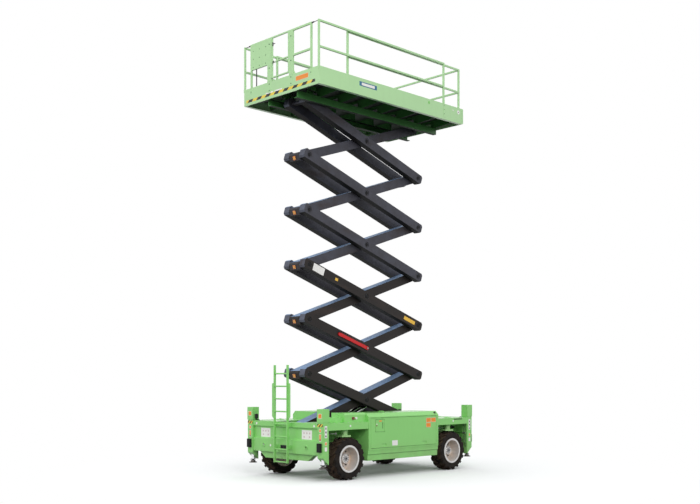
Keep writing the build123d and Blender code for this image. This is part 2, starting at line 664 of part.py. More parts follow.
def roller_shaft(plane, place, reach):
    """A pin that reaches past the arms to a roller at each end."""
    with BuildSketch(plane) as shaft:
        with Locations(place):
            Circle(pin_radius * 0.8)
    extrude(shaft.sketch, amount=reach, both=True)
    for offset in (-roller_out, roller_in):
        with BuildSketch(plane.offset(offset)) as roller:
            with Locations(place):
                Circle(roller_radius)
        extrude(roller.sketch, amount=roller_width)


for layer in range(1, layers + 1):
    rising = arm_plane(layer, arm_angle)
    with BuildPart() as inner_arm:
        with BuildSketch(rising):
            with BuildLine():
                Polyline(*arm_outline, close=True)
            make_face()
        extrude(amount=inner_half, both=True)
        if layer == 1:
            # Lugs under the arm for the eyes of the lift cylinders
            eye = (eye_reach - arm_length / 2, -eye_drop)
            for y in (-inner_half, -10, inner_half - 20):
                with BuildSketch(rising.offset(y)) as lug:
                    with BuildLine():
                        Polyline((eye[0] - 210, -arm_depth / 2), (eye[0] - 60, eye[1] - 20),
                                 (eye[0] - 30, eye[1] - 55), (eye[0] + 30, eye[1] - 55),
                                 (eye[0] + 60, eye[1] - 20), (eye[0] + 150, -arm_depth / 2), close=True)
                    make_face()
                extrude(lug.sketch, amount=20)
        bored = [pin_places[0], pin_places[1]] if layer == layers else pin_places
        for place in bored:
            opened = place == pin_places[2]
            with BuildSketch(rising) as bore:
                with Locations(place):
                    Circle(pin_radius + (open_pin_clearance if opened else pin_clearance))
            extrude(bore.sketch, amount=inner_half + 1, both=True, mode=Mode.SUBTRACT)
        if layer == layers:
            roller_shaft(rising, pin_places[2], roller_out)
    finish(f"inner_arm_{layer}", inner_arm)

    falling = arm_plane(layer, -arm_angle)
    with BuildPart() as outer_arms:
        with BuildSketch(falling):
            with BuildLine():
                Polyline(*arm_outline, close=True)
            make_face()
        extrude(amount=stack_half, both=True)
        with BuildSketch(falling) as between:
            Rectangle(arm_length + 4 * arm_end, 2 * arm_depth)
        extrude(between.sketch, amount=inner_half + arm_side_gap, both=True, mode=Mode.SUBTRACT)
        # Recesses round the pins on the outer faces
        for offset in (-stack_half, stack_half - pin_recess_depth):
            with BuildSketch(falling.offset(offset)) as recess:
                with Locations(*pin_places):
                    Circle(pin_recess_radius)
            extrude(recess.sketch, amount=pin_recess_depth, mode=Mode.SUBTRACT)
        with BuildSketch(falling) as pins:
            with Locations(*pin_places):
                Circle(pin_radius)
        extrude(pins.sketch, amount=pin_length_half, both=True)
        if layer == 1:
            roller_shaft(falling, pin_places[2], roller_out)
        if layer == layers:
            with BuildSketch(falling) as top_pin:
                with Locations(pin_places[0]):
                    Circle(pin_radius)
            extrude(top_pin.sketch, amount=stack_half + 45, both=True)
        if layer == 2:
            # Boss that the safety prop turns on
            with BuildSketch(falling.offset(stack_half - pin_recess_depth)) as boss:
                Circle(prop_boss)
            extrude(boss.sketch, amount=pin_recess_depth + prop_gap + prop_thickness + 2.5)
            # Catch over the prop's free end
            with BuildSketch(falling.offset(stack_half)) as catch:
                with Locations((-prop_length, prop_width / 2 + motion_gap + 9)):
                    Rectangle(76, 18)
            extrude(catch.sketch, amount=prop_gap + prop_thickness + 4.5)
    finish(f"outer_arms_{layer}", outer_arms)

# Safety prop: a bar on the second layer's centre pin that lies along the right outer arm
prop_plane = arm_plane(2, -arm_angle)
with BuildPart() as safety_prop:
    with BuildSketch(prop_plane.offset(stack_half + prop_gap)):
        with Locations((-prop_length / 2, 0)):
            SlotCenterToCenter(prop_length, prop_width)
        Circle(prop_boss + pin_clearance, mode=Mode.SUBTRACT)
    extrude(amount=prop_thickness)
finish("safety_prop", safety_prop)

# ---- Lift cylinders --------------------------------------------------------------------------------------

eye_angle = radians(arm_angle)
eye_x = base_x + eye_reach * cos(eye_angle) + eye_drop * sin(eye_angle)
eye_z = base_pin_z + eye_reach * sin(eye_angle) - eye_drop * cos(eye_angle)
cylinder_angle = atan2(eye_z - cylinder_base_z, eye_x - cylinder_base_x)
cylinder_length = hypot(eye_x - cylinder_base_x, eye_z - cylinder_base_z)
barrel_length = 1430
gland_length = 90
foot_length = 90
cylinder_plane = Plane(origin=(cylinder_base_x, 0, cylinder_base_z),
                       x_dir=(cos(cylinder_angle), 0, sin(cylinder_angle)), z_dir=(0, -1, 0))
stroke_line = Axis((cylinder_base_x, 0, cylinder_base_z), (cos(cylinder_angle), 0, sin(cylinder_angle)))

with BuildPart() as lift_barrels:
    for side in sides.values():
        across = side * cylinder_spacing / 2
        with BuildSketch(cylinder_plane.offset(across)) as section:
            with BuildLine():
                Polyline((foot_length, 0), (foot_length, barrel_radius), (barrel_length, barrel_radius),
                         (barrel_length, rod_radius + pin_clearance),
                         (barrel_length - gland_length, rod_radius + pin_clearance),
                         (barrel_length - gland_length, barrel_bore), (foot_length + 30, barrel_bore),
                         (foot_length + 30, 0), close=True)
            make_face()
        line = Axis((cylinder_base_x, -across, cylinder_base_z), stroke_line.direction)
        revolve(section.sketch, axis=line)
        with BuildSketch(cylinder_plane.offset(across - 36)) as foot:
            Circle(55)
            Rectangle(foot_length + 10, 110, align=(Align.MIN, Align.CENTER))
        extrude(foot.sketch, amount=72, mode=Mode.ADD)
        with BuildSketch(cylinder_plane.offset(across - 80)) as bore:
            Circle(30 + pin_clearance)
        extrude(bore.sketch, amount=160, mode=Mode.SUBTRACT)
finish("lift_barrels", lift_barrels)

with BuildPart() as lift_rods:
    for side in sides.values():
        across = side * cylinder_spacing / 2
        with BuildSketch(cylinder_plane.offset(across)) as section:
            with BuildLine():
                Polyline((barrel_length - 560, 0), (barrel_length - 560, barrel_bore - 1),
                         (barrel_length - 500, barrel_bore - 1), (barrel_length - 500, rod_radius),
                         (cylinder_length - 40, rod_radius), (cylinder_length - 40, 0), close=True)
            make_face()
        line = Axis((cylinder_base_x, -across, cylinder_base_z), stroke_line.direction)
        revolve(section.sketch, axis=line)
        with BuildSketch(cylinder_plane.offset(across - 30)) as eye:
            with Locations((cylinder_length, 0)):
                Circle(55)
        extrude(eye.sketch, amount=60)
finish("lift_rods", lift_rods)

# ---- Platform --------------------------------------------------------------------------------------------

panel_in = platform_half_width - panel_thickness
fixed_front = platform_front - 40 - motion_gap
channel_in = beam_out - 90
channel_back = beam_out + 5
channel_low = top_pin_z - roller_radius - clearance
channel_high = top_pin_z + roller_radius + 4
bay_top = top_pin_z + arm_depth / 2 + 85
floor_thickness = 12
cross_count = 8

with BuildPart() as platform_deck:
    block((platform_rear, fixed_front), (-panel_in, panel_in), (floor_z - floor_thickness, floor_z))
    for side in sides.values():
        # Side panel with its lower flange turned in
        along_x([(side * platform_half_width, panel_z), (side * platform_half_width, panel_top),
                 (side * panel_in, panel_top), (side * panel_in, panel_z + rail_flange),
                 (side * (panel_in - 50), panel_z + rail_flange), (side * (panel_in - 50), panel_z)],
                (platform_rear, fixed_front))
    # Rear panel
    block((platform_rear, platform_rear + panel_thickness), (-panel_in, panel_in), (panel_z, panel_top))
finish("platform_deck", platform_deck)

# Underframe: arched cross members that carry the floor, and the channels that the top rollers run in
with BuildPart() as platform_underframe:
    for side in sides.values():
        channel = [(channel_in, channel_low - rail_flange), (channel_back, channel_low - rail_flange),
                   (channel_back, channel_high + rail_flange), (channel_in, channel_high + rail_flange),
                   (channel_in, channel_high), (channel_back - rail_flange, channel_high),
                   (channel_back - rail_flange, channel_low), (channel_in, channel_low)]
        along_x([(side * y, z) for y, z in channel], (platform_rear + 80, fixed_front - 60))
        # Lug of the fixed upper pin, hung from a pad under the floor
        along_y([(base_x - 80, bay_top), (base_x - 60, top_pin_z - 65), (base_x + 60, top_pin_z - 65),
                 (base_x + 80, bay_top)], mirrored(side, stack_half + 8, stack_half + 38))
        block((base_x - 80, base_x + 80), mirrored(side, stack_half + 8, beam_out),
              (bay_top - 20, floor_z - floor_thickness))
    floor_under = floor_z - floor_thickness
    arch = [(channel_in, channel_high), (channel_back, channel_high), (panel_in, panel_z + 60),
            (panel_in, floor_under)]
    section = arch + [(-y, z) for y, z in reversed(arch)]
    section += [(-channel_in, bay_top), (channel_in, bay_top)]
    spacing = (fixed_front - platform_rear - 260) / (cross_count - 1)
    for index in range(cross_count):
        x = platform_rear + 130 + index * spacing
        along_x(section, (x - 25, x + 25))
    for side in sides.values():
        pin_y(base_x, top_pin_z, pin_radius + pin_clearance, mirrored(side, stack_half + 7, stack_half + 39),
              mode=Mode.SUBTRACT)
finish("platform_underframe", platform_underframe)

# Fixed side rails: a welded frame of square tube on each side panel
fixed_rail_x = (platform_rear, platform_rear + fixed_rail_length)
half_tube = rail_tube / 2


def rail_frame(plane, across, heights, posts, depth):
    """A flat frame of square tubes: rails at the given heights over a foot, and posts."""
    with BuildSketch(plane) as frame:
        for height in heights[1:]:
            with Locations(((across[0] + across[1]) / 2, height)):
                Rectangle(across[1] - across[0], rail_tube)
        for post in posts:
            with Locations((post, (heights[0] + heights[-1]) / 2)):
                Rectangle(rail_tube, heights[-1] - heights[0])
    extrude(frame.sketch, amount=depth)


for name, side in sides.items():
    with BuildPart() as side_rail:
        outer = max(side * platform_half_width, side * (platform_half_width - rail_tube))
        rail_frame(Plane.XZ.offset(-outer), fixed_rail_x, (panel_top, mid_rail_z, top_rail_z - half_tube),
                   (fixed_rail_x[0] + half_tube, fixed_rail_x[1] - half_tube), rail_tube)
    finish(f"{name}_rail", side_rail)

# Rear end frame, in two halves beside the gate, each with a wide gate post
gate_half = gate_width / 2
frame_out = platform_half_width - rear_frame_inset
rear_frame_x = (platform_rear, platform_rear + rail_tube)
with BuildPart() as rear_rail:
    for side in sides.values():
        post = mirrored(side, gate_half, gate_half + gate_post_width)
        block(rear_frame_x, post, (panel_top, top_rail_z))
        block(rear_frame_x, mirrored(side, frame_out - rail_tube, frame_out), (panel_top, top_rail_z))
        for z in (mid_rail_z, top_rail_z - half_tube):
            block(rear_frame_x, mirrored(side, gate_half, frame_out), (z - half_tube, z + half_tube))
        # Tie rod to the side rail, with its socket
        tie_z = top_rail_z - half_tube
        tie_x = rear_frame_x[0] + half_tube
        pin_y(tie_x, tie_z, 7, mirrored(side, frame_out, platform_half_width - rail_tube))
        pin_y(tie_x, tie_z, 15, mirrored(side, frame_out, frame_out + 60))
finish("rear_rail", rear_rail)

gate_y = (-gate_half + motion_gap, gate_half - motion_gap)
with BuildPart() as entry_gate:
    for y in (gate_y[0], gate_y[1] - 30):
        block(rear_frame_x, (y, y + 30), (panel_top + 60, top_rail_z))
    for z in (panel_top + 60, mid_rail_z - 15, top_rail_z - 30):
        block(rear_frame_x, gate_y, (z, z + 30))
    hinge_line = Plane(origin=(rear_frame_x[1], -gate_half + motion_gap / 2, 0), x_dir=(1, 0, 0),
                       z_dir=(0, 0, 1))
    knuckles(hinge_line, (panel_top + 160, mid_rail_z + 60, top_rail_z - 100), 50, motion_gap / 2 - clearance)
finish("entry_gate", entry_gate)

# Control box on a back plate, with its controls on the sloping top and a conduit down to the floor
box_back = platform_rear + rail_tube + 4
box_y = (frame_out - 330, frame_out - 60)
console = Plane(origin=(box_back + 58, sum(box_y) / 2, top_rail_z - 100), x_dir=(0, 1, 0), z_dir=(20, 0, 116))
with BuildPart() as control_box:
    block((box_back - 4, box_back), (frame_out - 390, frame_out), (mid_rail_z - half_tube, top_rail_z))
    along_y([(box_back, mid_rail_z + 60), (box_back, top_rail_z - 90), (box_back + 116, top_rail_z - 110),
             (box_back + 176, mid_rail_z + 240), (box_back + 176, mid_rail_z + 60)], box_y)
    chamfer(control_box.edges().filter_by(Axis.Y).group_by(Axis.X)[-1], 14)
    # Joystick, stop button and three small buttons: place along the box, radius, from and to above the top
    for place, radius, low, high in [(-75, 27, 0, 12), (-75, 8, 12, 62), (-75, 17, 62, 88), (80, 20, 0, 12),
                                     (80, 27, 12, 28), (-20, 9, 0, 7), (8, 9, 0, 7), (36, 9, 0, 7)]:
        with BuildSketch(console.offset(low)) as control:
            with Locations((place, 0)):
                Circle(radius)
        extrude(control.sketch, amount=high - low)
    post_z(box_back + 40, box_y[1] - 60, 12, (floor_z, mid_rail_z + 60))
    post_z(box_back + 40, box_y[1] - 60, 20, (floor_z, floor_z + 24))
finish("control_box", control_box)

# Extension deck: a sheet over the fixed floor, with low side angles and the platform's front panel
extension_rear = platform_rear + extension_setback
extension_half = platform_half_width - rail_tube - motion_gap - 6
extension_z = floor_z + motion_gap
with BuildPart() as extension_deck:
    block((extension_rear, platform_front - 40), (-extension_half, extension_half),
          (extension_z, extension_z + 10))
    for side in sides.values():
        block((extension_rear, platform_front - 40), mirrored(side, extension_half - 8, extension_half),
              (extension_z, extension_z + 90))
        # Runners that slide on the fixed floor
        block((extension_rear, platform_front - 100),
              mirrored(side, extension_half - 120, extension_half - 80), (floor_z + clearance, extension_z))
    along_y([(platform_front - 40, panel_z), (platform_front, panel_z + 20), (platform_front, panel_top),
             (platform_front - 40, panel_top)], (-platform_half_width, platform_half_width))
finish("extension_deck", extension_deck)

extension_rail_x = (extension_rear, platform_front - 60)
with BuildPart() as extension_rail:
    for side in sides.values():
        outer = max(side * (extension_half - 8), side * (extension_half - 8 - rail_tube))
        rail_frame(Plane.XZ.offset(-outer), extension_rail_x,
                   (extension_z + 10, mid_rail_z, top_rail_z - half_tube),
                   (extension_rail_x[0] + half_tube, extension_rail_x[1] - half_tube), rail_tube)
    for z in (mid_rail_z, top_rail_z - half_tube):
        block((extension_rail_x[1] - rail_tube, extension_rail_x[1]),
              (-extension_half + 8, extension_half - 8), (z - half_tube, z + half_tube))
finish("extension_rail", extension_rail)
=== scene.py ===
"""The finished look of a rough-terrain scissor lift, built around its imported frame.

Metres. X runs from the ladder end (rear) to the drive end (front), Y to the machine's left, Z up.
"""

import json
from math import atan2, cos, pi, radians, sin, tau

import bmesh
import bpy
from mathutils import Matrix, Vector


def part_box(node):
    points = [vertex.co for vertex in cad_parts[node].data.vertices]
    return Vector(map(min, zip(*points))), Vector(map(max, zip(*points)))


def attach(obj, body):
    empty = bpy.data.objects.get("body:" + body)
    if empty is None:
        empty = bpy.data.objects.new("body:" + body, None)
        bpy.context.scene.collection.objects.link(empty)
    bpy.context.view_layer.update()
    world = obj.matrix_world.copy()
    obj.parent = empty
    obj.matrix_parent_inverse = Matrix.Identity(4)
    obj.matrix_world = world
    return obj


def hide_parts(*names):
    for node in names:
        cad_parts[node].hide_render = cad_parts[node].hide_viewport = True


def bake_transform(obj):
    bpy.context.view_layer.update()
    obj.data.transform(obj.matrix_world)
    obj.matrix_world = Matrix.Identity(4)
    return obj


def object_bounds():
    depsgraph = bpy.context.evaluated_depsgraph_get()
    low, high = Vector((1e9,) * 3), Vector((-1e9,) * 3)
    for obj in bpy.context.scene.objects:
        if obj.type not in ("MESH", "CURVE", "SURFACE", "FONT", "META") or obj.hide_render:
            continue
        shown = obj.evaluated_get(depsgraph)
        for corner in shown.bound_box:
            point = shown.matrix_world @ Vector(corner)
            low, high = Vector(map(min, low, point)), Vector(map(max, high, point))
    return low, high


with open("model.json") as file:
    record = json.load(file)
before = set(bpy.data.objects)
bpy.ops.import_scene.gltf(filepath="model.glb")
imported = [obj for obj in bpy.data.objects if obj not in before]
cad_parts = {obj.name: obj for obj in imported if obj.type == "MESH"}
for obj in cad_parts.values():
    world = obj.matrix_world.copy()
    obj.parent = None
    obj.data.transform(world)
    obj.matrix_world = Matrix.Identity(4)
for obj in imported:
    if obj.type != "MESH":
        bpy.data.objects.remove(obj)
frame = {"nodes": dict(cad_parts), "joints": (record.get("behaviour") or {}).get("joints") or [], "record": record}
cad_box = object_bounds()

nodes = frame["nodes"]
BODY_OF = {node: body for body, members in frame["record"]["behaviour"]["bodies"].items() for node in members}
joints = {joint["name"]: joint for joint in frame["joints"]}
SIDES = {"right": -1, "left": 1}
ENDS = {"rear": -1, "front": 1}
CORNERS = [(f"{end}_{side}", outward, turn) for end, outward in ENDS.items() for side, turn in SIDES.items()]
LAYERS = sum(name.startswith("inner_arm_") for name in nodes)
TO_REAR, TO_RIGHT, UP = (-1, 0, 0), (0, -1, 0), (0, 0, 1)


def place_of(joint):
    """A joint's position at rest."""
    return Vector(joints[joint]["pos_m"])


def box_of(node):
    """A node's lowest and highest corners."""
    low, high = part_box(node)
    return Vector(low), Vector(high)


# ---- Node trees

class Socket:
    """A node's output that Python's operators work on, each of them adding a Math node."""

    def __init__(self, tree, output):
        self.tree, self.output = tree, output

    def __getitem__(self, key):
        """Another output of the same node, by name or by number."""
        return Socket(self.tree, self.output.node.outputs[key])

    def ramp(self, low, high):
        """0 below low, 1 above high and smooth between them."""
        return self.tree.node("MapRange", {0: self, 1: low, 2: high, 3: 0.0, 4: 1.0}, interpolation_type="SMOOTHSTEP")


def maths(operation, swapped=False):
    """A method that adds a Math node; a swapped one takes the other value first."""
    def method(self, *others):
        values = (*others, self) if swapped else (self, *others)
        return self.tree.node("Math", dict(enumerate(values)), operation=operation)
    return method


for method, operation in {
        "__add__": "ADD", "__sub__": "SUBTRACT", "__mul__": "MULTIPLY", "__truediv__": "DIVIDE", "__pow__": "POWER",
        "__mod__": "FLOORED_MODULO", "__abs__": "ABSOLUTE", "__gt__": "GREATER_THAN", "larger": "MAXIMUM",
        "smaller": "MINIMUM", "sine": "SINE"}.items():
    setattr(Socket, method, maths(operation))
for method, operation in {"__radd__": "ADD", "__rsub__": "SUBTRACT"}.items():
    setattr(Socket, method, maths(operation, swapped=True))


class Tree:
    """A node tree that is written as expressions."""

    def __init__(self, node_tree):
        self.node_tree = node_tree
        node_tree.nodes.clear()

    def node(self, kind, inputs=None, stops=(), **settings):
        """Add a node, a shader's unless its kind says otherwise, and return its first output."""
        item = self.node_tree.nodes.new(kind if "Node" in kind else f"ShaderNode{kind}")
        for key, value in settings.items():
            setattr(item, key, value)
        for index, (position, colour) in enumerate(stops):
            elements = item.color_ramp.elements
            stop = elements[index] if index < 2 else elements.new(position)
            stop.position, stop.color = position, (*colour, 1)
        for key, value in (inputs or {}).items():
            socket = item.inputs[key]
            if isinstance(value, Socket):
                self.node_tree.links.new(value.output, socket)
            elif isinstance(value, tuple) and socket.type == "RGBA":
                socket.default_value = (*value, 1)
            else:
                socket.default_value = value
        return Socket(self, item.outputs[0]) if item.outputs else None

    def mix(self, factor, first, second):
        """A colour between two."""
        return self.node("Mix", {0: factor, 6: first, 7: second}, data_type="RGBA", clamp_factor=True)[2]

    def scaled(self, vector, factor):
        """A colour made darker or lighter, or a vector made longer."""
        return self.node("VectorMath", {0: vector, 3: factor}, operation="SCALE")


class Finish(Tree):
    """A material whose pattern reads Object coordinates."""

    def __init__(self, name):
        self.material = bpy.data.materials.new(name)
        self.material.use_nodes = True
        super().__init__(self.material.node_tree)
        self.place = self.node("TexCoord")["Object"]
        self.x, self.y, self.z = (self.node("SeparateXYZ", {0: self.place})[axis] for axis in "XYZ")

    def noise(self, scale, detail, stretch=(1, 1, 1)):
        """Soft noise with features of about 1 / scale metres, longer along an axis whose stretch is under 1."""
        place = self.node("VectorMath", {0: self.place, 1: stretch}, operation="MULTIPLY")
        return self.node("TexNoise", {"Vector": place, "Scale": scale, "Detail": detail})

    def attribute(self, name):
        return self.node("Attribute", attribute_name=name)["Fac"]

    def bump(self, height, distance, strength):
        return self.node("Bump", {"Strength": strength, "Distance": distance, "Height": height})

    def surface(self, **inputs):
        """Finish the material with a Principled shader; names are its sockets', with _ for a space."""
        named = {key.replace("_", " "): value for key, value in inputs.items()}
        self.node("OutputMaterial", {"Surface": self.node("BsdfPrincipled", named)})
        return self.material


# ---- Materials

def green_paint(name, colour, dust, gloss=0.4):
    """Gloss paint with orange peel, a slow drift of shade, rain streaks and road dust in its lowest metre."""
    paint = Finish(name)
    drift = paint.noise(0.9, 3.0)
    streaks = paint.noise(9.0, 3.0, (1, 1, 0.12)).ramp(0.52, 0.75)
    specks = paint.noise(42.0, 4.0).ramp(0.6, 0.72)
    film = ((1 - paint.z).ramp(0.0, 0.9) * paint.noise(3.5, 4.0).ramp(0.25, 0.7) * dust).smaller(0.75)
    base = paint.mix(drift, paint.scaled(colour, 0.94), paint.scaled(colour, 1.04))
    base = paint.mix(streaks * 0.1, base, paint.scaled(colour, 0.72))
    base = paint.mix(film, base, (0.24, 0.21, 0.13))
    base = paint.mix(specks * film, base, (0.12, 0.1, 0.06))
    peel = paint.noise(160.0, 1.0) + paint.noise(14.0, 2.0) * 3.0
    return paint.surface(Base_Color=base, Roughness=0.34 + drift * 0.08 + film * 0.4, Specular_IOR_Level=0.4,
        Coat_Weight=(1 - film) * gloss, Coat_Roughness=0.12, Normal=paint.bump(peel, 0.0006, 0.25))


def arm_paint(name):
    """Dark semi-gloss paint with rubbed brown patches, and a patchy pale blue painted sheen where the faces are
    marked: painted sky reflection and painted light.
    """
    paint = Finish(name)
    shade = paint.noise(1.6, 3.0)
    rubbed = paint.noise(3.2, 5.0, (0.35, 1, 1)).ramp(0.52, 0.78)
    # Painted sky reflection and painted light: a patchy pale blue on the faces that arms() marks
    painted_sheen = (paint.attribute("painted_sheen") * (0.8 + paint.noise(5.0, 5.0).ramp(0.3, 0.7) * 0.35)).smaller(1.0)
    base = paint.mix(shade, (0.0115, 0.0086, 0.0078), (0.02, 0.0152, 0.014))
    base = paint.mix(painted_sheen, base, paint.mix(painted_sheen, (0.25, 0.245, 0.31), (0.17, 0.27, 0.44)))
    base = paint.mix(rubbed * 0.75, base, (0.042, 0.029, 0.024))
    grain = paint.noise(120.0, 2.0) + paint.noise(9.0, 2.0) * 4.0
    return paint.surface(Base_Color=base, Roughness=0.42 + rubbed * 0.16 + painted_sheen * 0.15, Specular_IOR_Level=0.24,
        Normal=paint.bump(grain, 0.0007, 0.3))


def rubber(name, colour, dusty):
    """A matt skin with a fine grain, for rubber, the near-black faces that point down under the platform, and the
    painted shade of the arms' undersides; dust follows grime.
    """
    skin = Finish(name)
    patches = skin.noise(7.0, 5.0)
    grime = skin.attribute("grime") * patches.ramp(0.3, 0.6) * dusty
    base = skin.mix(patches, skin.scaled(colour, 0.8), skin.scaled(colour, 1.25))
    base = skin.mix(grime, base, (0.078, 0.05, 0.033))
    return skin.surface(Base_Color=base, Roughness=0.7 + grime * 0.25, Specular_IOR_Level=0.16,
        Normal=skin.bump(skin.noise(260.0, 3.0), 0.0008, 0.5))


def metal(name, colour, roughness, scratch=0.0, dirt=0.0, metallic=1.0):
    """Bare, plated or thinly painted metal with fine scratches and smudges."""
    steel = Finish(name)
    smudge = steel.noise(12.0, 4.0)
    lines = steel.noise(60.0, 2.0, (1, 0.1, 1)).ramp(0.5, 0.7)
    soil = smudge.ramp(0.5, 0.75) * dirt
    base = steel.mix(soil, steel.mix(lines * scratch, colour, steel.scaled(colour, 0.6)), (0.1, 0.07, 0.05))
    return steel.surface(Base_Color=base, Metallic=metallic - soil * 0.8,
        Roughness=roughness + smudge * 0.12 + soil * 0.4, Normal=steel.bump(steel.noise(300.0, 1.0), 0.0003, 0.4))


def rim_paint(name):
    """Bright silver paint on a pressed wheel, with warm road film that thickens towards the well."""
    silver = Finish(name)
    film = silver.attribute("grime") * silver.noise(8.0, 5.0).ramp(0.2, 0.7)
    base = silver.mix(silver.noise(5.0, 3.0), (0.58, 0.57, 0.56), (0.72, 0.71, 0.7))
    base = silver.mix(film * 0.75, base, (0.72, 0.55, 0.41))
    return silver.surface(Base_Color=base, Metallic=0.55 - film * 0.45, Roughness=0.27 + film * 0.35,
        Normal=silver.bump(silver.noise(180.0, 2.0), 0.0004, 0.35))


def plastic(name, colour, roughness=0.42, coat=0.1):
    """Moulded plastic, powder coat or a printed foil, with a fine grain and handling marks."""
    skin = Finish(name)
    marks = skin.noise(30.0, 4.0)
    base = skin.mix(marks, skin.scaled(colour, 0.88), skin.scaled(colour, 1.06))
    return skin.surface(Base_Color=base, Roughness=roughness + marks.ramp(0.4, 0.8) * 0.12, Coat_Weight=coat,
        Normal=skin.bump(skin.noise(400.0, 2.0), 0.0003, 0.4))


def hazard_foil(name, pitch):
    """Yellow and black slanting bands that read the same on an end face and on a side face."""
    foil = Finish(name)
    across = (foil.y + foil.z + foil.x) / pitch
    worn = foil.noise(25.0, 5.0).ramp(0.62, 0.75)
    base = foil.mix((across % 1.0) > 0.5, (0.82, 0.62, 0.06), (0.012, 0.011, 0.012))
    base = foil.mix(worn * 0.5, base, (0.3, 0.3, 0.24))
    return foil.surface(Base_Color=base, Roughness=0.38 + worn * 0.3,
        Normal=foil.bump(foil.noise(90.0, 2.0), 0.0003, 0.3))


def tread_plate(name, pitch):
    """Aluminium floor sheet with raised lozenges in two directions, worn bright on their crests."""
    sheet = Finish(name)
    rows = []
    for turn, shift in ((1, 0.0), (-1, 0.5)):
        along = (sheet.x + sheet.y * turn) / pitch + shift
        across = (sheet.x - sheet.y * turn) / pitch + shift
        length, width = abs((along % 1.0) - 0.5), abs((across % 1.0) - 0.5)
        rows.append(1 - (length * 2.6 + width * 7.0).ramp(0.75, 1.15))
    crests = rows[0].larger(rows[1])
    scuffs = sheet.noise(6.0, 5.0)
    base = sheet.mix(scuffs, (0.27, 0.275, 0.28), (0.36, 0.365, 0.37))
    base = sheet.mix((1 - crests) * scuffs.ramp(0.35, 0.7) * 0.6, base, (0.2, 0.19, 0.17))
    return sheet.surface(Base_Color=base, Metallic=0.45, Roughness=0.62 - crests * 0.22,
        Normal=sheet.bump(crests, 0.0025, 0.9))


def reflector(name, colour, ribs):
    """Ribbed lens of a reflector."""
    lens = Finish(name)
    cells = ((lens.y * ribs).sine() * (lens.z * ribs).sine() + (lens.x * ribs).sine()) * 0.5
    base = lens.mix(cells.ramp(-0.6, 0.6), lens.scaled(colour, 0.7), colour)
    return lens.surface(Base_Color=base, Roughness=0.18, Coat_Weight=0.8, Coat_Roughness=0.05,
        Normal=lens.bump(cells, 0.001, 0.6))


RECIPES = {
    "chassis_green": (green_paint, (0.24, 0.63, 0.16), 0.4),
    "platform_green": (green_paint, (0.425, 0.7, 0.345), 0.0),
    # Painted shade: the platform's green made darker and deeper for the underframe
    "frame_green": (green_paint, (0.055, 0.215, 0.05), 0.0, 0.05),
    # Near-black for the faces that point down under the deck and the underframe
    "underseal": (rubber, (0.014, 0.021, 0.014), 0.0),
    "arm_charcoal": (arm_paint,),
    # Painted shade: a darker, matt copy of the arm paint for the arms' undersides
    "arm_underside": (rubber, (0.0065, 0.0058, 0.0056), 0.0),
    "tyre_rubber": (rubber, (0.008, 0.0068, 0.006), 1.0),
    "pad_black": (rubber, (0.014, 0.014, 0.015), 0.3),
    "rim_silver": (rim_paint,),
    "rod_chrome": (metal, (0.8, 0.8, 0.82), 0.07),
    "zinc_steel": (metal, (0.55, 0.55, 0.53), 0.34, 0.4, 0.3),
    "dark_steel": (metal, (0.13, 0.12, 0.115), 0.42, 0.3, 0.4),
    "engine_grey": (metal, (0.25, 0.25, 0.26), 0.5, 0.0, 0.5, 0.2),
    "prop_red": (plastic, (0.6, 0.005, 0.008), 0.48, 0.0),
    "black_plastic": (plastic, (0.016, 0.016, 0.017), 0.42, 0.0),
    "box_grey": (plastic, (0.2, 0.215, 0.21), 0.45, 0.0),
    "label_orange": (plastic, (0.88, 0.27, 0.015)),
    "label_yellow": (plastic, (0.88, 0.52, 0.05)),
    "label_white": (plastic, (0.88, 0.86, 0.83)),
    "label_blue": (plastic, (0.025, 0.15, 0.27)),
    "label_pale": (plastic, (0.66, 0.54, 0.55)),
    "label_pink": (plastic, (0.86, 0.62, 0.5)),
    "cap_red": (plastic, (0.19, 0.035, 0.022), 0.4, 0.2),
    "button_red": (plastic, (0.62, 0.015, 0.012), 0.3, 0.4),
    "hazard_stripes": (hazard_foil, 0.3),
    "column_stripes": (hazard_foil, 0.085),
    "tread_plate": (tread_plate, 0.042),
    "amber_lens": (reflector, (0.8, 0.25, 0.03), 420.0),
    "hub_grey": (metal, (0.3, 0.3, 0.31), 0.36, 0.3, 0.5, 0.6),
    "worn_green": (metal, (0.06, 0.17, 0.075), 0.45, 0.2, 0.3, 0.4),
    "worn_black": (metal, (0.014, 0.014, 0.015), 0.46, 0.3, 0.2, 0.25),
}
FINISHES = {name: recipe(name, *values) for name, (recipe, *values) in RECIPES.items()}


# ---- Shapes

PLATE_SINK = 0.0002  # how far a plate's back stands in the face behind it
CORNER_STEPS = 4  # facets round a plate's corner
EDGE_SEGMENTS = 2  # facets round a softened edge
SHARP_ANGLE = 32  # degrees between faces that meet at a sharp edge


def circle(radius, sides):
    """Points round a circle, as pairs."""
    return [(radius * cos(tau * i / sides), radius * sin(tau * i / sides)) for i in range(sides)]


def rounded(width, height, corner):
    """Outline of a rectangle with round corners, about its middle."""
    corner = min(corner, width / 2 - 1e-4, height / 2 - 1e-4)
    points = []
    for quarter, (sx, sy) in enumerate(((1, 1), (-1, 1), (-1, -1), (1, -1))):
        centre = (sx * (width / 2 - corner), sy * (height / 2 - corner))
        for step in range(CORNER_STEPS + 1):
            angle = (quarter + step / CORNER_STEPS) * pi / 2
            points.append((centre[0] + corner * cos(angle), centre[1] + corner * sin(angle)))
    return points


def axes_of(normal):
    """Two unit vectors square to a normal: the first level, the second as upright as it can be."""
    normal = Vector(normal).normalized()
    across = Vector(UP).cross(normal)
    if across.length < 1e-6:
        across = Vector((0, 1, 0))
    across.normalize()
    return across, normal.cross(across)


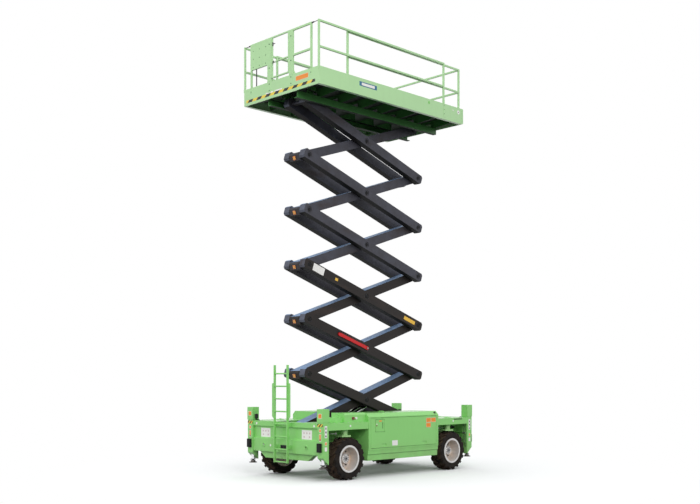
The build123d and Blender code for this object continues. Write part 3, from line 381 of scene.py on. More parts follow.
class Shape:
    """Closed forms gathered into one mesh."""

    def __init__(self):
        self.mesh = bmesh.new()

    def loft(self, rings, closed=False):
        """Skin rings of the same number of points, and close the ends unless the last joins the first."""
        made = [[self.mesh.verts.new(point) for point in ring] for ring in rings]
        pairs = list(zip(made, made[1:]))
        if closed:
            pairs.append((made[-1], made[0]))
        for first, second in pairs:
            for i in range(len(first)):
                j = (i + 1) % len(first)
                self.mesh.faces.new((first[i], first[j], second[j], second[i]))
        if not closed:
            self.mesh.faces.new(reversed(made[0]))
            self.mesh.faces.new(made[-1])
        return self

    def block(self, corner, opposite):
        (x0, x1), (y0, y1), (z0, z1) = (sorted(pair) for pair in zip(corner, opposite))
        base = [(x0, y0), (x1, y0), (x1, y1), (x0, y1)]
        return self.loft([[(x, y, z) for x, y in base] for z in (z0, z1)])

    def prism(self, outline, origin, across, up, depth):
        """Push an outline of pairs, drawn on the axes across and up, along their normal."""
        origin, across, up = map(Vector, (origin, across, up))
        normal = across.cross(up).normalized()
        ring = [origin + across * a + up * b for a, b in outline]
        return self.loft([ring, [point + normal * depth for point in ring]])

    def plate(self, centre, normal, width, height, thickness, corner=0.006):
        """A thin plate with round corners that stands on a face."""
        start = Vector(centre) - Vector(normal).normalized() * PLATE_SINK
        return self.prism(rounded(width, height, corner), start, *axes_of(normal), thickness + PLATE_SINK)

    def turned(self, origin, axis, profile, sides=32, closed=False):
        """Revolve a profile of (distance along the axis, radius)."""
        origin, axis = Vector(origin), Vector(axis).normalized()
        across, up = axes_of(axis)
        return self.loft([[origin + axis * along + across * a + up * b for a, b in circle(max(radius, 1e-5), sides)]
            for along, radius in profile], closed)

    def ring(self, origin, axis, inner, outer, depth, sides=32):
        """A flat ring that starts at its origin and stands along its axis."""
        section = [(0, inner), (0, outer), (depth, outer), (depth, inner)]
        return self.turned(origin, axis, section, sides, closed=True)

    def rod(self, start, end, radius, sides=20):
        start, end = Vector(start), Vector(end)
        return self.turned(start, end - start, [(0, radius), ((end - start).length, radius)], sides)

    def tube(self, route, radius, sides=12):
        """A round bar along a route."""
        route = [Vector(point) for point in route]
        last = len(route) - 1
        tangents = [(route[min(i + 1, last)] - route[max(i - 1, 0)]).normalized() for i in range(last + 1)]
        across, _ = axes_of(tangents[0])
        rings = []
        for point, tangent in zip(route, tangents):
            across = (across - tangent * across.dot(tangent)).normalized()
            up = tangent.cross(across)
            rings.append([point + across * a + up * b for a, b in circle(radius, sides)])
        return self.loft(rings)

    def hexagon(self, centre, normal, size, height):
        """A bolt's head or a nut, size across its flats."""
        return self.prism(circle(size / 3 ** 0.5, 6), centre, *axes_of(normal), height)

    def object(self, name, finish):
        """The shape as an object, merged, with its faces pointing outwards."""
        form = self.mesh
        bmesh.ops.remove_doubles(form, verts=form.verts, dist=0.00002)
        bmesh.ops.dissolve_degenerate(form, edges=form.edges, dist=0.00001)
        bmesh.ops.recalc_face_normals(form, faces=form.faces)
        return as_object(form, name, finish)


def as_object(form, name, finish):
    """A new object in one finish from a bmesh, which is freed."""
    data = bpy.data.meshes.new(name)
    form.to_mesh(data)
    form.free()
    data.materials.clear()
    data.materials.append(FINISHES[finish])
    return placed(name, data)


def placed(name, data, place=(0, 0, 0), turn=(0, 0, 0)):
    """A new object in the scene."""
    item = bpy.data.objects.new(name, data)
    item.location, item.rotation_euler = place, turn
    bpy.context.scene.collection.objects.link(item)
    return item


def applied(piece):
    """Turn a piece's modifiers into its mesh."""
    bpy.context.view_layer.update()
    evaluated = piece.evaluated_get(bpy.context.evaluated_depsgraph_get())
    data = bpy.data.meshes.new_from_object(evaluated)
    piece.modifiers.clear()
    piece.data = data
    return piece


def bevelled(piece, width, angle=35):
    """Round a piece's edges."""
    if width:
        bevel = piece.modifiers.new("edges", "BEVEL")
        bevel.width, bevel.segments = width, EDGE_SEGMENTS
        bevel.limit_method, bevel.angle_limit = "ANGLE", radians(angle)
        applied(piece)
    smooth(piece)
    piece.modifiers.new("normals", "WEIGHTED_NORMAL").keep_sharp = True
    return applied(piece)


def smooth(piece):
    for polygon in piece.data.polygons:
        polygon.use_smooth = True
    piece.data.set_sharp_from_angle(angle=radians(SHARP_ANGLE))


def fitted(piece, body):
    """A finished piece that rides on a body."""
    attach(piece, body)
    return piece


def made(shape, name, finish, body="chassis", bevel=0.0, slot=None):
    """A shape as a finished piece; its slot argument is not used."""
    if finish in ("chassis_green", "platform_green"):
        slot = slot or finish
    return fitted(bevelled(shape.object(name, finish), bevel), body)


def repeat_tree():
    """Copies of a mesh, each moved by one more step and turned by one more angle about the origin."""
    group = bpy.data.node_groups.new("repeat", "GeometryNodeTree")
    inputs = {}
    for name, kind in dict(Geometry="Geometry", Count="Int", Step="Vector", Turn="Vector",
            Material="Material").items():
        socket = group.interface.new_socket(name, in_out="INPUT", socket_type=f"NodeSocket{kind}")
        inputs[name] = socket.identifier
    group.interface.new_socket("Geometry", in_out="OUTPUT", socket_type="NodeSocketGeometry")
    tree = Tree(group)
    given = tree.node("NodeGroupInput")
    index = tree.node("GeometryNodeInputIndex")
    place, turn = tree.scaled(given["Step"], index), tree.scaled(given["Turn"], index)
    points = tree.node("GeometryNodePoints", {"Count": given["Count"], "Position": place})
    copies = tree.node("GeometryNodeInstanceOnPoints",
        {"Points": points, "Instance": given["Geometry"], "Rotation": turn})
    real = tree.node("GeometryNodeRealizeInstances", {"Geometry": copies})
    finished = tree.node("GeometryNodeSetMaterial", {"Geometry": real, "Material": given["Material"]})
    tree.node("NodeGroupOutput", {0: finished})
    return group, inputs


REPEAT, REPEAT_INPUTS = repeat_tree()


def repeated(piece, count, step=(0, 0, 0), turn=(0, 0, 0), centre=(0, 0, 0)):
    """Repeat a piece along a line or round an axis through a centre."""
    shift = Matrix.Translation(-Vector(centre))
    piece.data.transform(shift)
    modifier = piece.modifiers.new("repeat", "NODES")
    modifier.node_group = REPEAT
    values = {"Count": count, "Step": tuple(step), "Turn": tuple(turn), "Material": piece.data.materials[0]}
    for name, value in values.items():
        modifier[REPEAT_INPUTS[name]] = value
    applied(piece)
    piece.data.transform(shift.inverted())
    smooth(piece)
    return piece


def softened(node, finish, width, angle=35, drawn=None):
    """A copy of a CAD node with its edges rounded, which stands for the node.

    The faces past a limit along an axis may be drawn in, so that foils and bolts on them stay in its box.
    """
    form = bmesh.new()
    form.from_mesh(nodes[node].data)
    bmesh.ops.remove_doubles(form, verts=form.verts, dist=0.00005)
    bmesh.ops.dissolve_limit(form, angle_limit=radians(0.6), verts=form.verts, edges=form.edges)
    if drawn:
        axis, limit, depth = drawn
        sign = 1 if limit > 0 else -1
        for vertex in form.verts:
            if vertex.co[axis] * sign > abs(limit):
                vertex.co[axis] -= sign * depth
    piece = bevelled(as_object(form, f"{node}_finished", finish), width, angle)
    fitted(piece, BODY_OF[node])
    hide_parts(node)
    return piece


def refinished(piece, finish, test):
    """Give the faces whose middle and normal pass a test another finish."""
    piece.data.materials.append(FINISHES[finish])
    index = len(piece.data.materials) - 1
    for polygon in piece.data.polygons:
        if test(polygon.center, polygon.normal):
            polygon.material_index = index


def grimed(piece, rule):
    """Store how much dust lies on each point, from 0 to 1."""
    values = piece.data.attributes.new("grime", "FLOAT", "POINT").data
    for vertex, value in zip(piece.data.vertices, values):
        value.value = min(max(rule(vertex.co), 0.0), 1.0)


def painted(node, finish):
    """Give a CAD node its material."""
    data = nodes[node].data
    data.materials.clear()
    data.materials.append(FINISHES[finish])


# ---- Sizes that the pieces share

REAR, SIDE = cad_box[0][0], cad_box[1][1]
DECK_TOP = box_of("wheel_bays")[1].z
COLUMN_LOW, COLUMN_HIGH = box_of("outrigger_columns")
CABINET_LOW, CABINET_HIGH = box_of("right_cabinet")
DOOR_LOW, DOOR_HIGH = box_of("right_door")
PLATFORM_LOW, PLATFORM_HIGH = box_of("platform_deck")
RAIL_FRONT = box_of("right_rail")[1].x
STACK_SIDE = box_of("outer_arms_3")[1].y
FOIL = 0.0012  # labels and foils
BOLT_HEAD = 0.005
POST_PLATE = 0.004
COLUMN_WIDTH = 0.17
COLUMN_FACE = SIDE - 0.008  # outer faces of the columns and side beams
RAIL_TUBE = 0.04
ARM_END = 0.14  # end of an arm past its pin
PIN_RECESS = 0.009
FRAME_POST = SIDE - 0.24  # outer side of the rear frame's posts


def label(name, body, centre, normal, width, height, finish, rim=None, corner=0.008):
    """A blank foil label, with a pale rim where it has one."""
    centre, normal = Vector(centre), Vector(normal).normalized()
    depth = 1
    if rim:
        made(Shape().plate(centre, normal, width, height, FOIL * 0.6, corner), f"{name}_rim", rim, body)
        width, height, depth = width - 0.014, height - 0.014, 0.5
        centre = centre + normal * FOIL * depth
    made(Shape().plate(centre, normal, width, height, FOIL * depth, corner * 0.8), name, finish, body)


def labels(prefix, body, normal, rows):
    """Labels that face one way, from rows of name, centre, width, height, finish, rim and corner."""
    for name, centre, width, height, *finish in rows:
        label(prefix + name, body, centre, normal, width, height, *finish)


def bolts(name, body, centre, normal, count, step, size=0.024, finish="zinc_steel"):
    """A row of hexagon bolts on washers."""
    centre, normal = Vector(centre), Vector(normal).normalized()
    head = Shape().turned(centre, normal, [(-0.001, size * 0.72), (0.0016, size * 0.72)], 20)
    head.hexagon(centre, normal, size, BOLT_HEAD)
    fitted(repeated(head.object(name, finish), count, step), body)


# ---- Chassis

def chassis_steelwork():
    for node in ("chassis_frame", "wheel_bays", "rear_panel", "front_panel", "outrigger_columns", "right_door",
            "left_door", "access_ladder", "hydraulic_tank"):
        softened(node, "chassis_green", 0.003)
    for side, turn in SIDES.items():
        cabinet = softened(f"{side}_cabinet", "chassis_green", 0.004, drawn=(1, turn * (SIDE - 0.0005), FOIL))
        refinished(cabinet, "black_plastic", lambda at, out: at.x > CABINET_HIGH.x - 0.13 and (
            at.z > CABINET_HIGH.z - 0.09 and abs(at.y) + at.z > SIDE + CABINET_HIGH.z - 0.118))
    softened("bumper_pads", "pad_black", 0.006)


def tank_and_hatch():
    """The tank housing's caps, and the hatch's lock, slot and labels."""
    housing = softened("tank_housing", "chassis_green", 0.003)
    low, high = box_of("tank_housing")
    cap_y, between = low.y + 0.025, high.x - 0.355
    refinished(housing, "cap_red", lambda at, out: at.y < cap_y and at.x < between)
    refinished(housing, "label_white", lambda at, out: at.y < cap_y and at.x > between)
    hatch = softened("service_hatch", "chassis_green", 0.002)
    low, high = box_of("service_hatch")
    middle_z = (low.z + high.z) / 2
    refinished(hatch, "cap_red", lambda at, out: at.y < low.y + 0.0035 and (
        at.x < low.x + 0.056 and abs(at.z - middle_z) < 0.018))
    refinished(hatch, "black_plastic", lambda at, out: low.y + 0.012 < at.y < low.y + 0.016 and (
        high.x - 0.07 < at.x < high.x - 0.04))
    face = low.y + 0.003
    labels("", "service_hatch", TO_RIGHT, (
        ("hatch_label", (low.x + 0.15, face, high.z - 0.035), 0.085, 0.026, "label_orange", None, 0.012),
        ("lock_label", (low.x + 0.04, face, middle_z + 0.034), 0.03, 0.018, "label_white")))


def door_labels():
    """Blank signs on the two doors."""
    for side, turn in SIDES.items():
        body, face = f"{side}_door", turn * (SIDE - 0.004)
        labels(body, body, (0, turn, 0), [
            ("_sign", (CABINET_LOW.x + 0.84, face, DOOR_LOW.z + 0.088), 0.18, 0.115, "label_white")] + [
            (f"_label_{number}", (DOOR_HIGH.x - x, face, DOOR_HIGH.z - z), 0.165, 0.105, "label_orange", "label_pink")
            for number, (x, z) in enumerate(((0.095, 0.1), (0.27, 0.1), (0.27, 0.215)))])


def end_panels():
    """Signs, studs, bolts and couplings on the two end panels."""
    for end, outward in ENDS.items():
        out = (outward, 0, 0)
        low, high = box_of(f"{end}_panel")
        face = low.x + 0.012 if outward < 0 else high.x - 0.012
        recess = face - outward * 0.04
        studs = Shape()
        for place in ((0.95, 1.17), (-0.95, 1.17), (0.47, 0.7)):
            studs.turned((face, *place), out, [(-0.001, 0.024), (0.003, 0.024), (0.005, 0.02)], 24)
        made(studs, f"{end}_studs", "label_white")
        for side, turn in SIDES.items():
            sign, level = f"{end}_{side}_sign", 0.975
            label(sign, "chassis", (recess, turn * 0.68, level), out, 0.32, 0.2, "label_white")
            marks = Shape()
            for y, z in ((-0.09, 0.035), (0.0, 0.035), (0.09, 0.035), (-0.085, -0.045), (0.085, -0.045)):
                marks.plate((recess + outward * FOIL, turn * 0.68 + y, level + z), out, 0.042, 0.038, 0.0004, 0.012)
            made(marks, f"{sign}_marks", "label_pale")
        bolts(f"{end}_lip_bolts", "chassis", (face, -0.98, 1.205), out, 15, (0, 0.14, 0), 0.015, "chassis_green")
        bolts(f"{end}_band_bolts", "chassis", (face, -1.0, 0.585), out, 11, (0, 0.2, 0), 0.018, "chassis_green")
        level = 0.69
        coupling = Shape()
        for y in (-0.09, 0.0, 0.09):
            coupling.turned((face, y, level), out, [(0, 0.019), (0.018, 0.019), (0.018, 0.013), (0.03, 0.013),
                (0.03, 0.009), (0.024, 0.009)], 20)
        coupling.plate((face, 0, level), out, 0.26, 0.075, 0.004)
        made(coupling, f"{end}_couplings", "worn_black")


def column_fittings(name, outward, turn):
    """Labels, hazard foils and bolts on an outrigger column."""
    face = COLUMN_LOW.x + 0.008 if outward < 0 else COLUMN_HIGH.x - 0.008
    middle_x, middle_y = face - outward * COLUMN_WIDTH / 2, turn * (COLUMN_FACE - COLUMN_WIDTH / 2)
    out_x, out_y = (outward, 0, 0), (0, turn, 0)
    labels(name, "chassis", out_x, (
        ("_head_label", (face + outward * 0.008, middle_y, 1.385), 0.105, 0.1, "label_orange", "label_white"),
        ("_hazard", (face, middle_y, 1.19), 0.166, 0.066, "column_stripes", None, 0.002),
        ("_strip_0", (face, middle_y, 1.082), 0.06, 0.075, "label_orange", "label_white"),
        ("_strip_1", (face, middle_y, 0.935), 0.06, 0.15, "label_orange", "label_white")))
    spot = Shape().plate((face + outward * FOIL * 1.1, middle_y, 0.888), out_x, 0.034, 0.034, 0.0005, 0.016)
    made(spot, f"{name}_strip_spot", "black_plastic")
    side_y, notice_z = turn * COLUMN_FACE, 1.055
    label(f"{name}_notice", "chassis", (middle_x, side_y, notice_z), out_y, 0.07, 0.25, "label_white")
    signs = Shape()
    for shift in (-0.08, 0.0, 0.08):
        signs.prism([(-0.022, -0.024), (0.022, -0.024), (0.0, 0.026)],
            (middle_x, turn * (COLUMN_FACE + FOIL), notice_z + shift), (-turn, 0, 0), UP, 0.0005)
    made(signs, f"{name}_notice_signs", "black_plastic")
    labels(name, "chassis", out_y, (
        ("_tag", (middle_x, side_y, 0.81), 0.056, 0.075, "label_orange", "label_white"),
        ("_plate", (middle_x, side_y, 0.695), 0.066, 0.085, "label_white")))
    bolts(f"{name}_bolts", "chassis", (middle_x - 0.06, side_y, 0.53), out_y, 2, (0.12, 0, 0), 0.018, "chassis_green")
    column_pipes(name, face - outward * COLUMN_WIDTH, outward, middle_y, turn)


def column_pipes(name, inner, outward, middle_y, turn):
    """A valve block beside the column's head, and its two pipes down the column's inner face."""
    pipes = Shape()
    x = inner - outward * 0.011
    for shift, low in ((-0.03, 0.47), (0.03, 0.52)):
        y = middle_y + turn * shift
        pipes.tube([(x, y, 1.075), (x, y, low + 0.06), (x, y, low + 0.02), (x + outward * 0.004, y, low),
            (x + outward * 0.014, y, low - 0.008)], 0.008)
        pipes.turned((x, y, low + 0.07), UP, [(0, 0.012), (0.03, 0.012)], 6)
    made(pipes, f"{name}_pipes", "black_plastic")
    made(Shape().plate((x + outward * 0.009, middle_y, 0.86), (-outward, 0, 0), 0.1, 0.03, 0.02),
        f"{name}_clip", "zinc_steel", "chassis", 0.002)
    middle_x = inner + outward * COLUMN_WIDTH / 2
    side_face = middle_y - turn * (COLUMN_WIDTH / 2)
    far_face = side_face - turn * 0.055
    block = Shape().block((middle_x - 0.035, side_face, 1.275), (middle_x + 0.035, far_face, 1.375))
    for z in (1.305, 1.345):
        block.turned((middle_x, far_face, z), (0, -turn, 0),
            [(0, 0.014), (0.016, 0.014), (0.016, 0.009), (0.022, 0.009)], 6)
    for shift in (-0.018, 0.018):
        x, y = middle_x - shift, side_face - turn * (0.025 + shift)
        block.tube([(x, y, 1.285), (x, y, 1.262)] + [(x - outward * reach, y, z) for reach, z in (
            (0.012, 1.25), (0.06, 1.246), (0.085, 1.242), (0.095, 1.228))], 0.007)
    made(block, f"{name}_valve", "black_plastic", "chassis", 0.002)


def beam_fittings(corner, turn):
    """A stud on the side beam, bolts along the deck and the kingpin's cover."""
    kingpin = place_of(f"{corner}_steer")
    made(Shape().turned((kingpin.x, turn * COLUMN_FACE, DECK_TOP - 0.072), (0, turn, 0),
        [(-0.001, 0.022), (0.003, 0.022), (0.005, 0.018)], 24),
        f"{corner}_beam_stud", "label_white")
    bolts(f"{corner}_deck_bolts", "chassis", (kingpin.x - 0.42, turn * (COLUMN_FACE - 0.056), DECK_TOP), UP, 7,
        (0.14, 0, 0), 0.022)
    made(Shape().turned((kingpin.x, kingpin.y, DECK_TOP), UP,
        [(0, 0.085), (0.008, 0.085), (0.012, 0.078), (0.012, 0.03), (0.022, 0.026), (0.022, 0.0)]),
        f"{corner}_kingpin_cover", "chassis_green")


def beam_plate():
    place = (place_of("front_right_steer").x + 0.18, -COLUMN_FACE, DECK_TOP - 0.03)
    made(Shape().plate(place, TO_RIGHT, 0.3, 0.022, 0.003, 0.004), "front_beam_plate", "worn_black")


def steering(corner, outward, turn):
    """A steering cylinder in a wheel bay: a barrel under the deck, and a rod to the knuckle's arm."""
    knuckle = f"{corner}_knuckle"
    y, level = turn * 0.775, 0.978
    eye = Vector((place_of(f"{corner}_steer").x, y, level))
    mouth, foot = eye.x + outward * 0.215, eye.x + outward * 0.57
    barrel = Shape().turned((mouth, y, level), (outward, 0, 0),
        [(0, 0.018), (0, 0.033), (0.03, 0.033), (0.03, 0.028), (0.325, 0.028), (0.325, 0.033),
        (0.35, 0.033)], 24)
    barrel.ring((foot, y, level - 0.018), UP, 0.013, 0.032, 0.036, 24)
    for x in (mouth + outward * 0.05, foot - outward * 0.06):
        barrel.turned((x, y, level + 0.02), UP, [(0, 0.012), (0.03, 0.012), (0.03, 0.008), (0.045, 0.008)], 6)
    made(barrel, f"{corner}_steer_barrel", "black_plastic", "chassis", 0.0015)
    hanger = Shape()
    back = foot + outward * 0.055
    for z in (level + 0.022, level - 0.034):
        hanger.block((foot - outward * 0.03, y - 0.03, z), (back, y + 0.03, z + 0.012))
    hanger.block((foot + outward * 0.043, y - 0.03, level - 0.034), (back, y + 0.03, DECK_TOP - 0.0125))
    hanger.rod((foot, y, level - 0.04), (foot, y, level + 0.04), 0.0125)
    made(hanger, f"{corner}_steer_hanger", "chassis_green", "chassis", 0.0015)
    half = Vector((0, 0, 0.024))
    head = Shape().ring(eye - Vector((0, 0, 0.018)), UP, 0.012, 0.03, 0.036, 24).rod(eye - half, eye + half, 0.012)
    made(head, f"{corner}_steer_eye", "zinc_steel", knuckle, 0.001)
    start, finish = Vector((mouth + outward * 0.16, y, level)), eye + Vector((outward * 0.024, 0, 0))
    rod = Shape().rod(start, finish, 0.014, 16).object(f"{corner}_steer_rod", "rod_chrome")
    smooth(rod)
    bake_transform(rod)


# ---- Wheels and legs

def wheel(corner, turn):
    """A lugged tyre with scuff ribs, a dished rim, its nuts and the drive hub's cover."""
    body, out = f"{corner}_wheel", (0, turn, 0)
    hub = place_of(f"{corner}_spin")

    def on_hub(outwards, up=0.0, along=0.0):
        return hub.x + along, hub.y + turn * outwards, hub.z + up

    grimed(softened(f"{corner}_tyre", "tyre_rubber", 0.004, angle=40),
        lambda at: 0.85 if abs(at.y - hub.y) < 0.15 else 0.12)
    grimed(softened(f"{corner}_rim", "rim_silver", 0.0025, angle=40),
        lambda at: 1.1 - (at.y - hub.y) * turn * 6.5 if (
        (at.x - hub.x) ** 2 + (at.z - hub.z) ** 2) ** 0.5 > 0.12 else 0.2)
    ribs = Shape()
    for radius in (0.315, 0.358):
        ribs.ring(on_hub(0.16), out, radius, radius + 0.01, 0.0085, 64)
    grimed(made(ribs, f"{corner}_scuff_ribs", "tyre_rubber", body, 0.002, "tyre_rubber"), lambda at: 0.25)

    seat = Vector(on_hub(-0.07, 0.172))
    nut = Shape().turned(seat, out, [(0, 0.019), (0.005, 0.019), (0.008, 0.016)], 16)
    nut.hexagon(seat, out, 0.027, 0.024)
    nut.rod(seat, seat + Vector((0, turn * 0.036, 0)), 0.008, 12)
    screw = Shape().hexagon(on_hub(0.046, 0.074), out, 0.014, 0.009)
    for part, shape in (("wheel_nuts", nut), ("hub_screws", screw)):
        part = shape.object(f"{corner}_{part}", "dark_steel")
        fitted(repeated(part, 10, turn=(0, tau / 10, 0), centre=hub), body)
    cover = Shape().turned(on_hub(0.0468), out, [(0, 0.056), (0.004, 0.056), (0.007, 0.052), (0.007, 0.03),
        (0.014, 0.027), (0.014, 0.01), (0.02, 0.008), (0.02, 0.0)])
    cover.hexagon(on_hub(0.052, along=0.04), out, 0.012, 0.007)
    made(cover, f"{corner}_hub_cover", "hub_grey", body, 0.001)
    dimple = Shape().turned(on_hub(0.0668), out, [(-0.004, 0.02), (0.001, 0.019), (0.001, 0.0)], 24)
    made(dimple, f"{corner}_hub_dimple", "black_plastic", body)


def leg(node):
    """An outrigger's chrome leg, its pad and the wiper that it passes through."""
    low, high = box_of(node)
    refinished(softened(node, "rod_chrome", 0.002, angle=40), "dark_steel", lambda at, out: at.z < low.z + 0.076)
    middle = (low + high) / 2
    made(Shape().ring((middle.x, middle.y, COLUMN_LOW.z - 0.012), UP, 0.0385, 0.06, 0.0118), f"{node}_wiper",
        "black_plastic", "chassis", 0.002)


# ---- Scissor stack

def line_of(arm):
    """An arm's three pins from left to right, and unit vectors along it and up across it."""
    layer = int(arm.rsplit("_", 1)[1])
    centre = place_of(f"centre_pin_{layer}")
    if arm.startswith("inner"):
        left = place_of("lift" if layer == 1 else f"left_pin_{layer}")
    else:
        left = place_of("platform_pin" if layer == LAYERS else f"left_pin_{layer + 1}")
    along = (centre - left).normalized()
    return left, centre, centre * 2 - left, along, Vector((-along.z, 0, along.x))


def arms():
    for layer in range(1, LAYERS + 1):
        for arm in (f"inner_arm_{layer}", f"outer_arms_{layer}"):
            piece = softened(arm, "arm_charcoal", 0.008)
            # Each face gets its share of painted sky reflection and painted light
            painted_sheen = piece.data.attributes.new("painted_sheen", "FLOAT", "FACE").data
            for polygon, value in zip(piece.data.polygons, painted_sheen):
                value.value = painted_sheen_on(polygon, layer, arm.startswith("outer"))
            # The faces that point down take the darker matt copy of the arm paint: painted shade
            refinished(piece, "arm_underside", lambda at, out: out.z < -0.5)
        inner_arm_fittings(f"inner_arm_{layer}")
        for side, turn in SIDES.items():
            outer_arm_fittings(layer, side, turn)


def painted_sheen_on(polygon, layer, outer):
    """How much painted sheen a face takes: painted sky reflection most on top and some on the outer arms' inward
    faces, painted light on the outer arms' rear ends, and a little on the sides of the upper layers."""
    normal, middle = polygon.normal, polygon.center
    if normal.z > 0.5:
        return 1.0 if normal.z > 0.8 else 0.5
    if normal.z < -0.5:
        return 0.0
    # Painted light: the upper layers' sides are paler
    upper = 0.19 if layer > LAYERS / 2 else 0.0
    if outer and normal.x < -0.5:
        return 0.34
    if outer and normal.y * middle.y < 0 and abs(normal.y) > 0.8:
        return 0.14 + upper / 2
    return upper if abs(normal.y) > 0.8 else upper / 2


def inner_arm_fittings(arm):
    """An amber reflector on the arm's left end."""
    left, _, _, along, _ = line_of(arm)
    end = left - along * ARM_END
    for part, proud, size, thickness, corner, finish, bevel in (
            ("reflector_plate", 0.0, 0.11, 0.003, 0.004, "worn_black", 0.0),
            ("reflector", 0.003, 0.084, 0.007, 0.006, "amber_lens", 0.002),
            ("reflector_boss", 0.01, 0.034, 0.0015, 0.004, "label_yellow", 0.0)):
        plate = Shape().plate(end - along * proud, -along, size, size, thickness, corner)
        made(plate, f"{arm}_{part}", finish, arm, bevel)


def outer_arm_fittings(layer, side, turn):
    """The pins' caps, and rims and keeper plates in their recesses."""
    arm = f"outer_arms_{layer}"
    left, centre, right, along, up = line_of(arm)
    start, step, count = left, centre - left, 3
    if layer == 1:
        count = 2
    elif layer == LAYERS:
        start, count = centre, 2
    elif layer == 2 and side == "right":
        # The prop's head covers the middle pin
        step, count = right - left, 2
    out = Vector((0, turn, 0))
    face = start + out * STACK_SIDE
    seat = face - out * PIN_RECESS

    def row(shape, part, finish):
        fitted(repeated(shape.object(f"{arm}_{side}_{part}", finish), count, step), arm)

    row(Shape().turned(face - out * 0.0062, out, [(0, 0.041), (0.0025, 0.041), (0.0045, 0.037), (0.0045, 0.012),
        (0.003, 0.01), (0.003, 0.0)], 28), "pin_caps", "pad_black")
    row(Shape().ring(seat, out, 0.0625, 0.0675, PIN_RECESS - 0.0008, 36), "pin_rims", "worn_black")
    middle = seat - up * 0.0525
    keeper = Shape().prism(rounded(0.056, 0.013, 0.006), middle, along * turn * -1, up, 0.004)
    for place in (-0.019, 0.019):
        keeper.hexagon(middle + along * place, out, 0.01, 0.0075)
    row(keeper, "keepers", "worn_black")


def arm_labels():
    """Blank labels on the third layer's right outer arm."""
    left, _, right, along, up = line_of("outer_arms_3")
    face = Vector(TO_RIGHT) * STACK_SIDE
    for name, start, place, width, height, finish in (("arm_plate", left, 0.29, 0.34, 0.165, "label_white"),
            ("arm_tag", left, 0.86, 0.085, 0.062, "label_yellow"),
            ("arm_label", right, -0.33, 0.4, 0.085, "label_yellow")):
        shape = Shape().prism(rounded(width, height, 0.004), start + along * place + face, along, up, FOIL)
        made(shape, name, finish, "outer_arms_3")


def lift_cylinders():
    """The lift cylinders, and the safety prop with its pin's head."""
    softened("lift_barrels", "arm_charcoal", 0.002)
    painted("lift_rods", "rod_chrome")
    softened("safety_prop", "prop_red", 0.002)
    head = place_of("centre_pin_2") + Vector((0, -STACK_SIDE - 0.0285, 0))
    made(Shape().hexagon(head, TO_RIGHT, 0.03, 0.01), "prop_pin_head", "zinc_steel", "outer_arms_2", 0.001)


# ---- Platform

def platform_steelwork():
    deck = softened("platform_deck", "platform_green", 0.003, drawn=(0, REAR + 0.0005, BOLT_HEAD + POST_PLATE))
    floor_z = box_of("control_box")[0].z
    refinished(deck, "tread_plate", lambda at, out: out.z > 0.9 and abs(at.z - floor_z) < 0.004)
    # The faces that point down under the floor sheet are near-black
    refinished(deck, "underseal", lambda at, out: out.z < -0.9 and at.z > floor_z - 0.05)
    refinished(softened("extension_deck", "platform_green", 0.003), "tread_plate",
        lambda at, out: out.z > 0.9 and floor_z < at.z < floor_z + 0.03)
    # The underframe takes the darker copy of the platform's green, which is painted shade; its faces that point down
    # are near-black
    refinished(softened("platform_underframe", "frame_green", 0.003), "underseal",
        lambda at, out: out.z < -0.7)
    for node in ("right_rail", "left_rail", "extension_rail", "rear_rail", "entry_gate"):
        rail = softened(node, "platform_green", 0.003, drawn=(0, REAR + 0.0005, BOLT_HEAD))
        if node == "rear_rail":
            refinished(rail, "black_plastic", lambda at, out: abs(at.y) > FRAME_POST + 0.0005)


def rear_frame_fittings():
    """Post plates down the panel, bolts, gussets and the gate's latch."""
    face = REAR + BOLT_HEAD
    low, high = box_of("rear_rail")
    gate_edge = box_of("entry_gate")[1].y
    frame_y = FRAME_POST - RAIL_TUBE / 2
    for side, turn in SIDES.items():
        post = turn * (gate_edge + 0.006 + 0.065)
        plates = Shape()
        for y, half, reach in ((post, 0.05, 0.235), (turn * frame_y, 0.02, 0.13),
                (turn * (SIDE - 0.02), 0.019, 0.06)):
            plates.block((face, y - half, low.z - reach), (face + POST_PLATE + 0.002, y + half, low.z + 0.004))
        made(plates, f"{side}_post_plates", "platform_green", "platform", 0.001)
        for part, y, z, count, step, size in (("post_bolts_upper", post, 0.3, 2, 0.52, 0.02),
                ("post_bolts_lower", post, -0.19, 2, 0.14, 0.02),
                ("frame_bolts", turn * frame_y, -0.09, 1, 0, 0.016)):
            bolts(f"{side}_{part}", "platform", (face, y, low.z + z), TO_REAR, count, (0, 0, step), size,
                "worn_green")
        gussets = Shape()
        for y in (post - 0.065, post + 0.059):
            gussets.prism([(0.006, 0), (0.075, 0), (0.006, 0.085)], (REAR + RAIL_TUBE - 0.006, y, low.z),
                (1, 0, 0), UP, -0.006)
        made(gussets, f"{side}_gate_post_gussets", "platform_green", "platform", 0.001)
    x, z = REAR + 0.021, high.z - 0.16
    latch = Shape().block((x - 0.013, gate_edge - 0.045, z - 0.04), (x + 0.013, gate_edge - 0.001, z + 0.04))
    latch.rod((x, gate_edge - 0.11, z), (x, gate_edge - 0.04, z), 0.008)
    made(latch, "gate_latch", "black_plastic", "entry_gate", 0.003)


